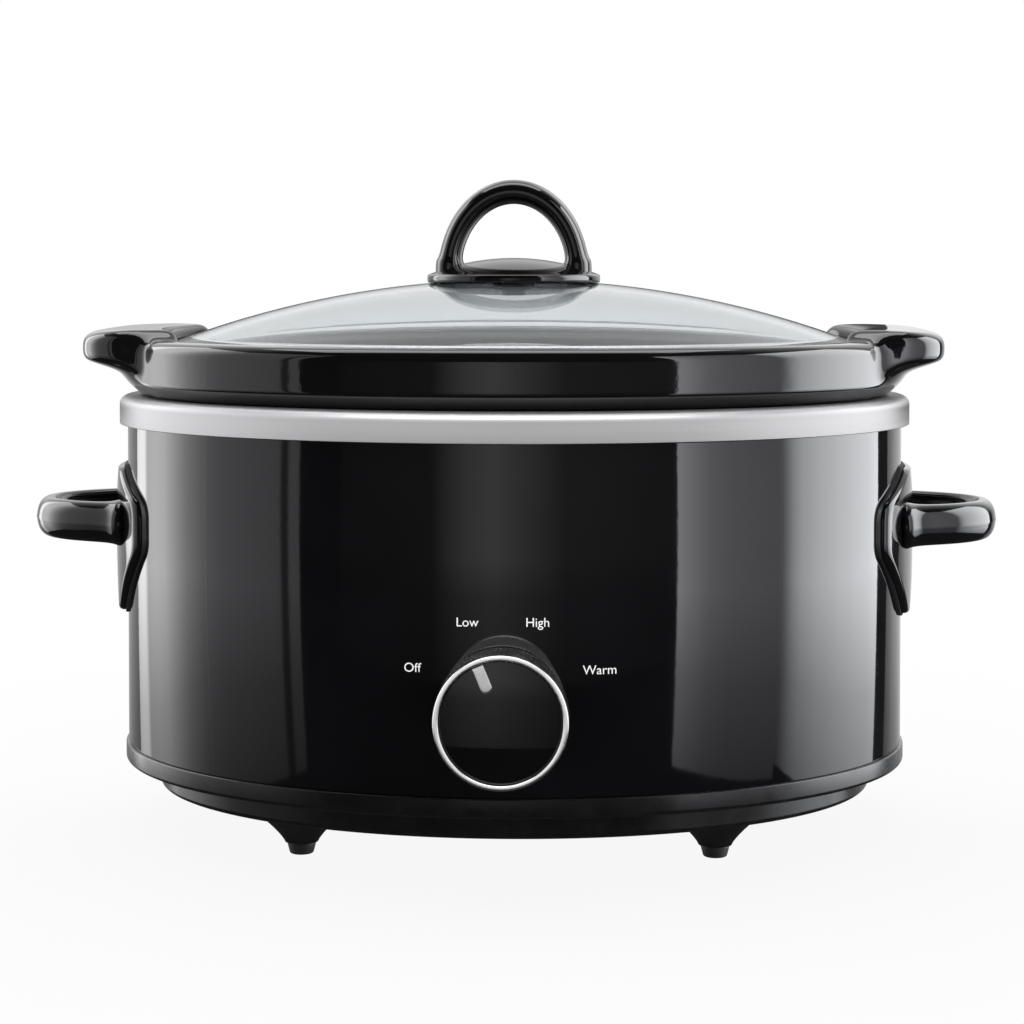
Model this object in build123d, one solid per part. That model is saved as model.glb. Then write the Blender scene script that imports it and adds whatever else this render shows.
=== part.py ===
"""Oval slow cooker: a painted steel shell with a heated aluminium well, a lift-out stoneware
crock, a glass lid with an arched handle, and a four-position knob.

Millimetres. +X runs along the oval, -Y is the front with the knob, +Z is up. Pieces are drawn
about the oval's own centre line, with the feet standing on Z = 0, and are moved along Y by
FRAME_SHIFT_Y when they are written, so that the frame's origin is the middle of the footprint.
"""
from build123d import *
import math
import os

# Plan oval. Every ring of the object is this oval grown or shrunk by an offset.
SHELL_HALF_LENGTH = 147.0
SHELL_HALF_DEPTH = 113.0

# General clearances
BODY_GAP = 0.3          # between pieces that move apart
FIT_GAP = 0.1           # between pieces that are fastened together
SHAFT_GAP = 0.05        # running fit of the switch shaft, on the radius

# Feet and base pan
NUB_HEIGHT = 4.2
NUB_TOP_RADIUS = 5.3
NUB_BOTTOM_RADIUS = 4.2
FOOT_INSET_X = 61.0         # from the lower tier's end to the middle of a foot
FOOT_INSET_Y = 20.5         # and from its side
FOOT_STEM_RADIUS = 2.6
FOOT_BARB_RADIUS = 3.6
FOOT_BARB_HEIGHT = 2.0
BOSS_TIP_RADIUS = 6.0
BOSS_ROOT_RADIUS = 15.0
BOSS_INNER_HEIGHT = 5.9
BASE_BOTTOM_Z = 14.0
BASE_TIER_HEIGHT = 10.0
BASE_BAND_HEIGHT = 7.0
BASE_WALL = 2.5
BASE_TIER_OFFSET = -12.0
BASE_BAND_OFFSET = 1.0
COLLAR_HEIGHT = 6.0
BASE_EDGE_ROUND = 1.5
TIER_EDGE_ROUND = 2.0

# Shell
SHELL_WALL = 0.8
SHELL_HEIGHT = 129.5
GLAND_HOLE_CLEARANCE = 0.2

# Heating well, one drawn sheet with a rolled rim that hangs over the shell
WELL_SHEET = 0.8
WELL_RIM_TOP_Z = 161.5
WELL_RIM_OFFSET = 3.0
WELL_SKIRT_HEIGHT = 10.5
WELL_RIM_ROUND = 3.2
WELL_MOUTH_OFFSET = -9.0
WELL_FOOT_OFFSET = -26.0
WELL_FLOOR_OFFSET = -32.0
WELL_FLOOR_Z = 45.2
WELL_CORNER_HEIGHT = 5.0

# Heating element, a ribbon round the well
HEATER_BOTTOM_Z = 80.0
HEATER_TOP_Z = 125.0
HEATER_THICKNESS = 2.4
HEATER_GAP_WIDTH = 16.0
STRAP_BOTTOM_Z = 98.0
STRAP_HEIGHT = 8.0
STRAP_THICKNESS = 0.6
STRAP_GAP_WIDTH = 10.0
STRAP_EAR_LENGTH = 8.0
STRAP_EAR_THICKNESS = 1.0
STRAP_SCREW_RADIUS = 1.5
STRAP_SCREW_LENGTH = 17.0
STRAP_SCREW_SETBACK = 5.0   # from the root of the ears to the screw
STRAP_SCREW_HEAD = 2.0

# Electrical tabs, their push-on connectors and the leads
TAB_WIDTH = 4.8
TAB_THICKNESS = 0.8
CONNECTOR_WIDTH = 6.6
CONNECTOR_THICKNESS = 3.0
CONNECTOR_HEIGHT = 9.0
CONNECTOR_OVERLAP = 6.0
LEAD_RADIUS = 1.2
LEAD_FLOOR_Z = 29.0
LEAD_DROP_BEND = 4.5        # under a switch connector
LEAD_RISE_BEND = 12.0       # below a heater tab
LEAD_WIDE_BEND = 40.0       # on the way round the stud
LEAD_BLOCK_BEND = 6.0       # in front of the terminal block
LEAD_FUSE_BEND = 5.0        # beside the fuse
LINE_LEAD_X = -18.0         # where the line lead passes the stud
LINE_LEAD_FRONT_Y = -30.0
LINE_LEAD_BACK_Y = 10.0
RETURN_LEAD_X = 20.0
HEATER_TAB_BOTTOM_Z = 69.0
HEATER_TAB_TOP_Z = 92.0
HEATER_TAB_INNER_X = 38.0
HEATER_TAB_OUTER_X = 54.0
FUSE_RADIUS = 2.0
FUSE_LENGTH = 14.0
FUSE_X = -15.0
FUSE_Z = 60.0
FUSE_CLIP_WIDTH = 6.0
FUSE_CLIP_WALL = 1.0

# Terminal block on the base pan's floor
BLOCK_WIDTH = 24.0
BLOCK_DEPTH = 16.0
BLOCK_HEIGHT = 12.5
BLOCK_Y = 63.0
BLOCK_POLE_X = 5.0
BLOCK_BORE_RADIUS = 1.6
BLOCK_BORE_DEPTH = 6.0
BLOCK_WIRE_HEIGHT = 8.5
BLOCK_SCREW_RADIUS = 1.9
BLOCK_SCREW_LENGTH = 2.0
BLOCK_RUN_IN = 11.0         # a lead's straight run in front of the block
BLOCK_WIRE_END_GAP = 1.0

# Stack on the centre stud: bracket, spacer, heat shield, spacer, base pan, washer, nut
STUD_RADIUS = 2.5
STUD_BOTTOM_Z = 14.6
BRACKET_LENGTH = 110.0
BRACKET_WIDTH = 16.0
BRACKET_THICKNESS = 1.2
SPACER_RADIUS = 4.0
SHIELD_Z = 34.0
SHIELD_THICKNESS = 0.6
SHIELD_OFFSET = -30.0
SHIELD_HOLE_RADIUS = 3.0
RECESS_RADIUS = 12.0
RECESS_DEPTH = 5.0
CENTRE_WASHER_RADIUS = 7.0
CENTRE_WASHER_THICKNESS = 1.0
CENTRE_NUT_RADIUS = 4.6
CENTRE_NUT_HEIGHT = 3.2

# Cord gland at the back
GLAND_Z = 44.0
GLAND_BORE_RADIUS = 3.6
GLAND_STEM_RADIUS = 4.7
GLAND_FLANGE_RADIUS = 7.5
GLAND_FLANGE_LENGTH = 3.5
GLAND_COLLAR_RADIUS = 6.0
GLAND_COLLAR_LENGTH = 2.4
GLAND_TAIL_LENGTH = 7.0

# Side handles
HANDLE_Z = 114.5
HANDLE_BAR_HEIGHT = 15.0
HANDLE_REACH = 36.5
HANDLE_BAR_WIDTH = 10.0
HANDLE_HALF_SPAN = 34.0
HANDLE_LOOP_X = 138.5
HANDLE_BAR_ROUND = 4.0
SHIELD_PLATE_TOP = 20.5
SHIELD_PLATE_BOTTOM = 34.0
SHIELD_PLATE_HALF_WIDTH = 48.0
SHIELD_PLATE_END_HALF_WIDTH = 22.0
SHIELD_PLATE_ROUND = 9.0
GASKET_THICKNESS = 1.0
GASKET_MARGIN = 0.8         # how far the gasket shows round the escutcheon
SHIELD_PLATE_THICKNESS = 2.6
HANDLE_SCREW_HEIGHTS = (13.5, -23.0)
HANDLE_BOSS_RADIUS = 4.0
HANDLE_SCREW_RADIUS = 2.0
HANDLE_BORE_WALL = 1.0      # plastic left outside the end of a screw's bore
HANDLE_SCREW_END_GAP = 0.5
HANDLE_SCREW_HEAD_RADIUS = 5.5
HANDLE_SCREW_HEAD_HEIGHT = 2.4
BACKING_PLATE_THICKNESS = 1.6
BACKING_PLATE_WIDTH = 15.0
BACKING_PLATE_MARGIN = 7.0

# Rotary switch and knob. Depths are counted outwards from the shell's foremost line.
KNOB_Z = 60.3
KNOB_REST_ANGLE = -22.5     # pointer at Low, counted clockwise from straight up
SWITCH_HALF_WIDTH = 17.0
SWITCH_HALF_HEIGHT = 15.0
SWITCH_FRONT = -2.0
SWITCH_DEPTH = 14.0
SWITCH_WALL = 2.5
SWITCH_COVER_THICKNESS = 1.5
BUSHING_RADIUS = 5.0
BUSHING_FRONT = 3.0
SHOULDER_RADIUS = 7.0
SHAFT_RADIUS = 3.0
SHAFT_FRONT = 12.4
SHAFT_FLAT_DEPTH = 1.0
ROTOR_RADIUS = 9.0
ROTOR_FRONT = -5.3
ROTOR_THICKNESS = 2.4
BLADE_DEPTH = -10.5
BLADE_PITCH = 8.0
BLADE_TOP = -11.0
BLADE_TAIL = 8.0            # how far a blade stands out below the housing
SWITCH_WASHER_RADIUS = 9.0
SWITCH_WASHER_THICKNESS = 0.6
SWITCH_NUT_RADIUS = 7.6
SWITCH_NUT_THICKNESS = 2.0
KNOB_RADIUS = 22.6
KNOB_BACK = 0.9
KNOB_FRONT = 19.8
KNOB_RING_WALL = 2.0
KNOB_CORE_BACK = 1.6
KNOB_PLATE_BACK = 12.6
KNOB_FACE_BACK = 15.6
KNOB_FACE_FRONT = 18.2
KNOB_HUB_RADIUS = 6.0
KNOB_HUB_BACK = 3.4
KNOB_SKIRT_WALL = 2.0
CLIP_WALL = 0.7
CLIP_BACK = 5.0
CLIP_WIDTH = 4.0
CLIP_SLOT = 2.0
POINTER_WIDTH = 4.0
POINTER_LENGTH = 9.6
POINTER_HEIGHT = 0.7

# Crock
CROCK_WALL = 7.0
CROCK_FLOOR = 7.5
CROCK_FOOT_GAP = 4.0        # between the crock's foot and the well's floor
CROCK_BODY_TOP_OFFSET = -15.0
CROCK_BODY_FOOT_OFFSET = -31.0
CROCK_FOOT_OFFSET = -37.0
CROCK_CORNER_HEIGHT = 6.0
RIM_BEVEL_WIDTH = 5.0
RIM_BEVEL_HEIGHT = 4.7
RIM_FACE_HEIGHT = 12.0
RIM_CREST_HEIGHT = 21.0
RIM_ROUND_WIDTH = 4.2
RIM_ROUND_DROP = 1.2
LEDGE_HEIGHT = 15.7
LEDGE_OUTER_OFFSET = -14.5
LEDGE_INNER_OFFSET = -21.5
EAR_REACH = 13.3
EAR_HALF_WIDTH = 45.0
EAR_CORNER = 20.0
EAR_TOP = 25.2
EAR_TIP_BOTTOM = 13.0
EAR_TIP_TOP = 20.0
EAR_ROOT_BOTTOM = 2.0
EAR_TIP_UNDERCUT = 2.0      # chamfer under the tip, its width and height
EAR_TIP_UNDERCUT_HEIGHT = 2.4
EAR_KNEE_REACH = 1.5          # where the underside leaves the rim and turns outward
EAR_KNEE_HEIGHT = 8.5
EAR_TIP_SHOULDER = 8.0      # the rounded shoulder from the tip to the ear's top
EAR_TIP_SHOULDER_STEP = 2.5
EAR_TIP_SHOULDER_DROP = 2.0

# Lid
LID_SIDE_GAP = 1.5
LID_EDGE_THICKNESS = 3.0
LID_DOME_RISE = 24.2
LID_GLASS = 4.0
LID_FLANGE_WIDTH = 7.0
LID_HOLE_RADIUS = 3.5
HANDLE_DISC_RADIUS = 33.0
HANDLE_DISC_EDGE_ABOVE_APEX = 1.7
HANDLE_DISC_CROWN = 6.5
HANDLE_DISC_FLAT_RADIUS = 3.0
ARCH_HALF_WIDTH = 28.6
ARCH_HEIGHT = 35.0
ARCH_INNER_HALF_WIDTH = 20.2
ARCH_INNER_HEIGHT = 25.8
ARCH_DEPTH = 20.0
ARCH_BASE_ABOVE_APEX = 3.0
ARCH_ROUND = 2.0
ARCH_LEG = 2.5
LID_SEAL_RADIUS = 15.0
LID_SEAL_TOP_ABOVE_APEX = 1.6
LID_SCREW_RADIUS = 2.5
LID_SCREW_HEAD_RADIUS = 4.5
LID_SCREW_HEAD_HEIGHT = 3.0
LID_SCREW_END_ABOVE_APEX = 7.0
LID_SCREW_END_GAP = 0.5
LID_SCREW_SLOT = 1.0
LID_WASHER_RADIUS = 8.0
LID_WASHER_THICKNESS = 1.2

# Heights that follow from the sizes above
TIER_TOP_Z = BASE_BOTTOM_Z + BASE_TIER_HEIGHT
BASE_TOP_Z = TIER_TOP_Z + BASE_BAND_HEIGHT
BASE_FLOOR_Z = BASE_BOTTOM_Z + BASE_WALL
RECESS_TOP_Z = BASE_BOTTOM_Z + RECESS_DEPTH
SHELL_TOP_Z = BASE_TOP_Z + SHELL_HEIGHT
WELL_SKIRT_BOTTOM_Z = WELL_RIM_TOP_Z - WELL_SKIRT_HEIGHT
BRACKET_BOTTOM_Z = WELL_FLOOR_Z - BRACKET_THICKNESS
CROCK_BOTTOM_Z = WELL_FLOOR_Z + WELL_SHEET + CROCK_FOOT_GAP
RIM_BOTTOM_Z = WELL_RIM_TOP_Z + BODY_GAP
RIM_CREST_Z = RIM_BOTTOM_Z + RIM_CREST_HEIGHT
LEDGE_Z = RIM_BOTTOM_Z + LEDGE_HEIGHT
LID_BOTTOM_Z = LEDGE_Z + BODY_GAP
LID_APEX_Z = LID_BOTTOM_Z + LID_EDGE_THICKNESS + LID_DOME_RISE
ARCH_BASE_Z = LID_APEX_Z + ARCH_BASE_ABOVE_APEX

# Widths that follow
LID_HALF_LENGTH = SHELL_HALF_LENGTH + LEDGE_OUTER_OFFSET - LID_SIDE_GAP
LID_HALF_DEPTH = SHELL_HALF_DEPTH + LEDGE_OUTER_OFFSET - LID_SIDE_GAP
PLATE_OFFSET = GASKET_THICKNESS + SHIELD_PLATE_THICKNESS
GLAND_REACH = SHELL_HALF_DEPTH + FIT_GAP + GLAND_FLANGE_LENGTH
KNOB_REACH = SHELL_HALF_DEPTH + KNOB_FRONT
REAR_REACH = max(GLAND_REACH, SHELL_HALF_DEPTH + WELL_RIM_OFFSET)
FRAME_SHIFT_Y = (KNOB_REACH - REAR_REACH) / 2


# ---------------------------------------------------------------- shapes shared by the parts

def oval(offset):
    """The plan oval, grown by offset."""
    return Ellipse(SHELL_HALF_LENGTH + offset, SHELL_HALF_DEPTH + offset)


def oval_stack(profile):
    """A solid whose outline is the plan oval with each (offset, z) of the profile in turn."""
    return loft([Pos(0, 0, z) * oval(offset) for offset, z in profile], ruled=True)


def oval_prism(offset, bottom, top):
    return Pos(0, 0, bottom) * extrude(oval(offset), top - bottom)


def oval_ring(inner_offset, outer_offset, bottom, top):
    return oval_prism(outer_offset, bottom, top) - oval_prism(inner_offset, bottom - 1, top + 1)


def block(low, high):
    """A box from its lowest to its highest corner."""
    size = [high[i] - low[i] for i in range(3)]
    middle = [(high[i] + low[i]) / 2 for i in range(3)]
    return Pos(*middle) * Box(*size)


def upright(radius, bottom, top, x=0, y=0):
    """A cylinder that stands on z = bottom."""
    return Pos(x, y, (bottom + top) / 2) * Cylinder(radius, top - bottom)


def tube_ring(inner_radius, outer_radius, bottom, top):
    return upright(outer_radius, bottom, top) - upright(inner_radius, bottom - 1, top + 1)


def hexagon(radius, bottom, top):
    return Pos(0, 0, bottom) * extrude(RegularPolygon(radius, 6), top - bottom)


def facing_front(part):
    """Places a part drawn along +Z on the knob's axis, with +Z towards the front."""
    return Pos(0, -SHELL_HALF_DEPTH, KNOB_Z) * Rot(90, 0, 0) * part


def on_both_ends(part):
    """The part at the +X end, with its mirror image at the -X end."""
    return [part, mirror(part, Plane.YZ)]


def edge_loops_at(part, z):
    """The edges of a part that lie flat at height z."""
    return part.edges().filter_by(lambda e: abs(e.bounding_box().min.Z - z) < 1e-4
                                  and abs(e.bounding_box().max.Z - z) < 1e-4)


def oval_y(offset, x):
    """How far back the oval of this offset lies at x."""
    half_length = SHELL_HALF_LENGTH + offset
    return (SHELL_HALF_DEPTH + offset) * math.sqrt(1 - (x / half_length) ** 2)


# ---------------------------------------------------------------- base unit

def well_wall_offset(z):
    """Offset of the well's outer wall at height z: it tapers evenly to its foot."""
    foot_z = WELL_FLOOR_Z + WELL_CORNER_HEIGHT
    share = (z - foot_z) / (WELL_RIM_TOP_Z - foot_z)
    return WELL_FOOT_OFFSET + share * (WELL_MOUTH_OFFSET - WELL_FOOT_OFFSET)


def wrap_round_well(gap, thickness, bottom, top):
    """A ribbon that follows the well's taper, gap away from its wall."""
    outer = [(well_wall_offset(z) + gap + thickness, z) for z in (bottom, top)]
    inner = [(well_wall_offset(z) + gap, z) for z in (bottom - 1, top + 1)]
    return oval_stack(outer) - oval_stack(inner)


def foot_places():
    """The middle of each foot, front and rear, left and right."""
    x = SHELL_HALF_LENGTH + BASE_TIER_OFFSET - FOOT_INSET_X
    y = oval_y(BASE_TIER_OFFSET, x) - FOOT_INSET_Y
    return [(side * x, end * y) for side in (-1, 1) for end in (-1, 1)]


def make_base_pan():
    floor_inner = BASE_TIER_OFFSET - BASE_WALL
    collar_outer = -SHELL_WALL - BODY_GAP
    collar_inner = collar_outer - BASE_WALL
    tier = oval_prism(BASE_TIER_OFFSET, BASE_BOTTOM_Z, TIER_TOP_Z + BASE_WALL)
    tier = fillet(edge_loops_at(tier, BASE_BOTTOM_Z), TIER_EDGE_ROUND)
    band = oval_prism(BASE_BAND_OFFSET, TIER_TOP_Z, BASE_TOP_Z)
    band = fillet(edge_loops_at(band, TIER_TOP_Z), BASE_EDGE_ROUND)
    pan = band + tier + oval_prism(collar_outer, BASE_TOP_Z, BASE_TOP_Z + COLLAR_HEIGHT)
    pan -= oval_prism(floor_inner, BASE_FLOOR_Z, BASE_TOP_Z)
    pan -= oval_prism(collar_inner, TIER_TOP_Z + BASE_WALL, BASE_TOP_Z + COLLAR_HEIGHT + 1)
    pan += upright(RECESS_RADIUS + BASE_WALL, BASE_BOTTOM_Z, RECESS_TOP_Z + BASE_WALL)
    pan -= upright(RECESS_RADIUS, BASE_BOTTOM_Z - 1, RECESS_TOP_Z)
    pan -= upright(STUD_RADIUS + FIT_GAP, BASE_BOTTOM_Z, RECESS_TOP_Z + BASE_WALL + 1)
    cone_height = BASE_BOTTOM_Z - NUB_HEIGHT - FIT_GAP
    cone = Pos(0, 0, BASE_BOTTOM_Z - cone_height / 2) * Cone(BOSS_TIP_RADIUS, BOSS_ROOT_RADIUS, cone_height)
    boss = cone + upright(BOSS_TIP_RADIUS, BASE_BOTTOM_Z, BASE_BOTTOM_Z + BOSS_INNER_HEIGHT)
    stem_hole = upright(FOOT_STEM_RADIUS + FIT_GAP, 0, BASE_BOTTOM_Z + BOSS_INNER_HEIGHT + 1)
    for x, y in foot_places():
        pan = pan + Pos(x, y, 0) * boss - Pos(x, y, 0) * stem_hole
    return pan


def make_rubber_feet():
    boss_top = BASE_BOTTOM_Z + BOSS_INNER_HEIGHT + FIT_GAP
    nub = Pos(0, 0, NUB_HEIGHT / 2) * Cone(NUB_BOTTOM_RADIUS, NUB_TOP_RADIUS, NUB_HEIGHT)
    foot = nub + upright(FOOT_STEM_RADIUS, NUB_HEIGHT, boss_top)
    foot += upright(FOOT_BARB_RADIUS, boss_top, boss_top + FOOT_BARB_HEIGHT)
    return [Pos(x, y, 0) * foot for x, y in foot_places()]


def handle_screw_points():
    return [HANDLE_Z + height for height in HANDLE_SCREW_HEIGHTS]


def along_x(radius, start, end, z):
    """A cylinder along +X at Y = 0 and height z."""
    return Pos((start + end) / 2, 0, z) * Rot(0, 90, 0) * Cylinder(radius, end - start)


def make_outer_shell():
    shell = oval_ring(-SHELL_WALL, 0, BASE_TOP_Z, SHELL_TOP_Z)
    shell -= facing_front(upright(BUSHING_RADIUS + FIT_GAP, -SHELL_WALL - 2, 2))
    back = SHELL_HALF_DEPTH
    gland_hole = Cylinder(GLAND_STEM_RADIUS + GLAND_HOLE_CLEARANCE, 6)
    shell -= Pos(0, back, GLAND_Z) * Rot(90, 0, 0) * gland_hole
    for z in handle_screw_points():
        hole = along_x(HANDLE_BOSS_RADIUS + BODY_GAP, SHELL_HALF_LENGTH - 5, SHELL_HALF_LENGTH + 5, z)
        for side_hole in on_both_ends(hole):
            shell -= side_hole
    return shell


def make_heating_well():
    rim = oval_prism(WELL_RIM_OFFSET, WELL_SKIRT_BOTTOM_Z, WELL_RIM_TOP_Z)
    rim = fillet(edge_loops_at(rim, WELL_RIM_TOP_Z), WELL_RIM_ROUND)
    under = WELL_RIM_TOP_Z - WELL_SHEET
    hollow = oval_prism(WELL_RIM_OFFSET - WELL_SHEET, WELL_SKIRT_BOTTOM_Z - 5, under)
    hollow = fillet(edge_loops_at(hollow, under), WELL_RIM_ROUND - WELL_SHEET)
    foot_z = WELL_FLOOR_Z + WELL_CORNER_HEIGHT
    bowl = oval_stack([(WELL_FLOOR_OFFSET, WELL_FLOOR_Z), (WELL_FOOT_OFFSET, foot_z),
                       (WELL_MOUTH_OFFSET, WELL_RIM_TOP_Z)])
    inside_floor = WELL_FLOOR_Z + WELL_SHEET
    inside = oval_stack([(WELL_FLOOR_OFFSET - WELL_SHEET / 2, inside_floor),
                         (WELL_FOOT_OFFSET - WELL_SHEET, foot_z + WELL_SHEET / 2),
                         (WELL_MOUTH_OFFSET - WELL_SHEET, WELL_RIM_TOP_Z + WELL_SHEET)])
    return (rim - hollow) + bowl - inside


def make_heating_band():
    band = wrap_round_well(FIT_GAP, HEATER_THICKNESS, HEATER_BOTTOM_Z, HEATER_TOP_Z)
    half_gap = HEATER_GAP_WIDTH / 2
    return band - block((-half_gap, 0, HEATER_BOTTOM_Z - 2), (half_gap, SHELL_HALF_DEPTH, HEATER_TOP_Z + 2))


def strap_ear_y():
    """Where the ears spring from the strap: just outside the ribbon at the strap's upper edge."""
    ribbon_outside = well_wall_offset(STRAP_BOTTOM_Z + STRAP_HEIGHT) + FIT_GAP + HEATER_THICKNESS
    return SHELL_HALF_DEPTH + ribbon_outside + 2 * FIT_GAP


def strap_screw_y():
    return strap_ear_y() + STRAP_SCREW_SETBACK


def make_heater_strap():
    top = STRAP_BOTTOM_Z + STRAP_HEIGHT
    strap = wrap_round_well(2 * FIT_GAP + HEATER_THICKNESS, STRAP_THICKNESS, STRAP_BOTTOM_Z, top)
    half_gap = STRAP_GAP_WIDTH / 2
    strap -= block((-half_gap, 0, STRAP_BOTTOM_Z - 2), (half_gap, SHELL_HALF_DEPTH, top + 2))
    ear = block((half_gap, strap_ear_y(), STRAP_BOTTOM_Z),
                (half_gap + STRAP_EAR_THICKNESS, strap_ear_y() + STRAP_EAR_LENGTH, top))
    hole = along_x(STRAP_SCREW_RADIUS + FIT_GAP, -STRAP_GAP_WIDTH, STRAP_GAP_WIDTH, 0)
    hole = Pos(0, strap_screw_y(), STRAP_BOTTOM_Z + STRAP_HEIGHT / 2) * hole
    for side_ear in on_both_ends(ear):
        strap += side_ear
    return strap - hole


def make_strap_screw():
    half = STRAP_SCREW_LENGTH / 2
    head_end = STRAP_GAP_WIDTH / 2 + STRAP_EAR_THICKNESS
    screw = along_x(STRAP_SCREW_RADIUS, -half, half, 0)
    for head in on_both_ends(along_x(2 * STRAP_SCREW_RADIUS, head_end, head_end + STRAP_SCREW_HEAD, 0)):
        screw += head
    return Pos(0, strap_screw_y(), STRAP_BOTTOM_Z + STRAP_HEIGHT / 2) * screw


def heater_tab_y(x):
    """The inner face of a heater tab at x, just clear of the ribbon over the tab's whole width."""
    offset = well_wall_offset(HEATER_TAB_TOP_Z) + FIT_GAP + HEATER_THICKNESS
    return oval_y(offset, abs(x) - TAB_WIDTH / 2) + FIT_GAP


def heater_tab_places():
    """Warm, common, high and low tabs, from left to right."""
    return (-HEATER_TAB_OUTER_X, -HEATER_TAB_INNER_X, HEATER_TAB_INNER_X, HEATER_TAB_OUTER_X)


def make_heater_tabs():
    half = TAB_WIDTH / 2
    return [block((x - half, heater_tab_y(x), HEATER_TAB_BOTTOM_Z),
                  (x + half, heater_tab_y(x) + TAB_THICKNESS, HEATER_TAB_TOP_Z))
            for x in heater_tab_places()]


def make_well_bracket():
    bracket = block((-BRACKET_LENGTH / 2, -BRACKET_WIDTH / 2, BRACKET_BOTTOM_Z),
                    (BRACKET_LENGTH / 2, BRACKET_WIDTH / 2, WELL_FLOOR_Z))
    return bracket


def make_centre_stud():
    return upright(STUD_RADIUS, STUD_BOTTOM_Z, BRACKET_BOTTOM_Z)


def make_stud_spacers():
    bore = STUD_RADIUS + FIT_GAP
    upper = tube_ring(bore, SPACER_RADIUS, SHIELD_Z + SHIELD_THICKNESS, BRACKET_BOTTOM_Z)
    lower = tube_ring(bore, SPACER_RADIUS, RECESS_TOP_Z + BASE_WALL, SHIELD_Z)
    return [upper, lower]


def make_heat_shield():
    shield = oval_prism(SHIELD_OFFSET, SHIELD_Z, SHIELD_Z + SHIELD_THICKNESS)
    return shield - upright(SHIELD_HOLE_RADIUS, SHIELD_Z - 1, SHIELD_Z + 2)


def make_centre_washer():
    top = RECESS_TOP_Z
    return tube_ring(STUD_RADIUS + FIT_GAP, CENTRE_WASHER_RADIUS, top - CENTRE_WASHER_THICKNESS, top)


def make_centre_nut():
    top = RECESS_TOP_Z - CENTRE_WASHER_THICKNESS
    nut = hexagon(CENTRE_NUT_RADIUS, top - CENTRE_NUT_HEIGHT, top)
    return nut - upright(STUD_RADIUS, top - CENTRE_NUT_HEIGHT - 1, top + 1)


def make_cord_gland():
    """Snap-in bushing, drawn with its axis along +Z pointing out of the back."""
    start = -SHELL_WALL - GLAND_COLLAR_LENGTH - GLAND_TAIL_LENGTH
    collar_end = -SHELL_WALL - BODY_GAP
    gland = upright(GLAND_STEM_RADIUS, start, FIT_GAP + GLAND_FLANGE_LENGTH)
    gland += upright(GLAND_FLANGE_RADIUS, FIT_GAP, FIT_GAP + GLAND_FLANGE_LENGTH)
    gland += upright(GLAND_COLLAR_RADIUS, collar_end - GLAND_COLLAR_LENGTH, collar_end)
    gland -= upright(GLAND_BORE_RADIUS, start - 1, GLAND_FLANGE_LENGTH + 2)
    return Pos(0, SHELL_HALF_DEPTH, GLAND_Z) * Rot(-90, 0, 0) * gland


# ---------------------------------------------------------------- side handles, drawn at +X

def shield_outline(grow):
    """The escutcheon's outline seen along X, as a prism through the +X end."""
    wide, narrow = SHIELD_PLATE_HALF_WIDTH + grow, SHIELD_PLATE_END_HALF_WIDTH + grow
    top, bottom = SHIELD_PLATE_TOP + grow, -SHIELD_PLATE_BOTTOM - grow
    bar = HANDLE_BAR_HEIGHT / 2
    points = [(narrow, top), (-narrow, top), (-wide, bar), (-wide, -bar),
              (-narrow, bottom), (narrow, bottom), (wide, -bar), (wide, bar)]
    outline = Polygon(*points, align=None)
    outline = fillet(outline.vertices(), SHIELD_PLATE_ROUND)
    return Pos(0, 0, HANDLE_Z) * extrude(Plane.YZ * outline, SHELL_HALF_LENGTH * 2, dir=(1, 0, 0))


def make_handle():
    loop_x = SHELL_HALF_LENGTH + HANDLE_REACH - HANDLE_LOOP_X
    outer = Ellipse(loop_x, HANDLE_HALF_SPAN)
    inner = Ellipse(loop_x - HANDLE_BAR_WIDTH, HANDLE_HALF_SPAN - HANDLE_BAR_WIDTH)
    bar = extrude(outer - inner, HANDLE_BAR_HEIGHT)
    bar = fillet(bar.edges().filter_by(GeomType.ELLIPSE), HANDLE_BAR_ROUND)
    bar = Pos(HANDLE_LOOP_X, 0, HANDLE_Z - HANDLE_BAR_HEIGHT / 2) * bar
    z_low, z_high = HANDLE_Z - SHIELD_PLATE_BOTTOM - 5, HANDLE_Z + SHIELD_PLATE_TOP + 5
    plate = oval_prism(PLATE_OFFSET, z_low, z_high) & shield_outline(0)
    handle = bar + plate - oval_prism(GASKET_THICKNESS, z_low - 1, z_high + 1)
    boss_start = backing_plate_face() + BODY_GAP
    for z in handle_screw_points():
        handle += along_x(HANDLE_BOSS_RADIUS, boss_start, SHELL_HALF_LENGTH + GASKET_THICKNESS + 1, z)
        bore_end = SHELL_HALF_LENGTH + PLATE_OFFSET - HANDLE_BORE_WALL
        handle -= along_x(HANDLE_SCREW_RADIUS + FIT_GAP / 2, boss_start - 1, bore_end, z)
    return handle


def backing_plate_face():
    """The inner face of the flat plate that spreads the screws' load inside the shell."""
    half_width = BACKING_PLATE_WIDTH / 2
    inside = -SHELL_WALL
    ratio = half_width / (SHELL_HALF_DEPTH + inside)
    shell_x = (SHELL_HALF_LENGTH + inside) * math.sqrt(1 - ratio ** 2)
    return shell_x - FIT_GAP - BACKING_PLATE_THICKNESS


def make_backing_plate():
    face = backing_plate_face()
    heights = handle_screw_points()
    plate = block((face, -BACKING_PLATE_WIDTH / 2, min(heights) - BACKING_PLATE_MARGIN),
                  (face + BACKING_PLATE_THICKNESS, BACKING_PLATE_WIDTH / 2,
                   max(heights) + BACKING_PLATE_MARGIN))
    for z in heights:
        plate -= along_x(HANDLE_BOSS_RADIUS + BODY_GAP, face - 1, face + BACKING_PLATE_THICKNESS + 1, z)
    return plate


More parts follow.
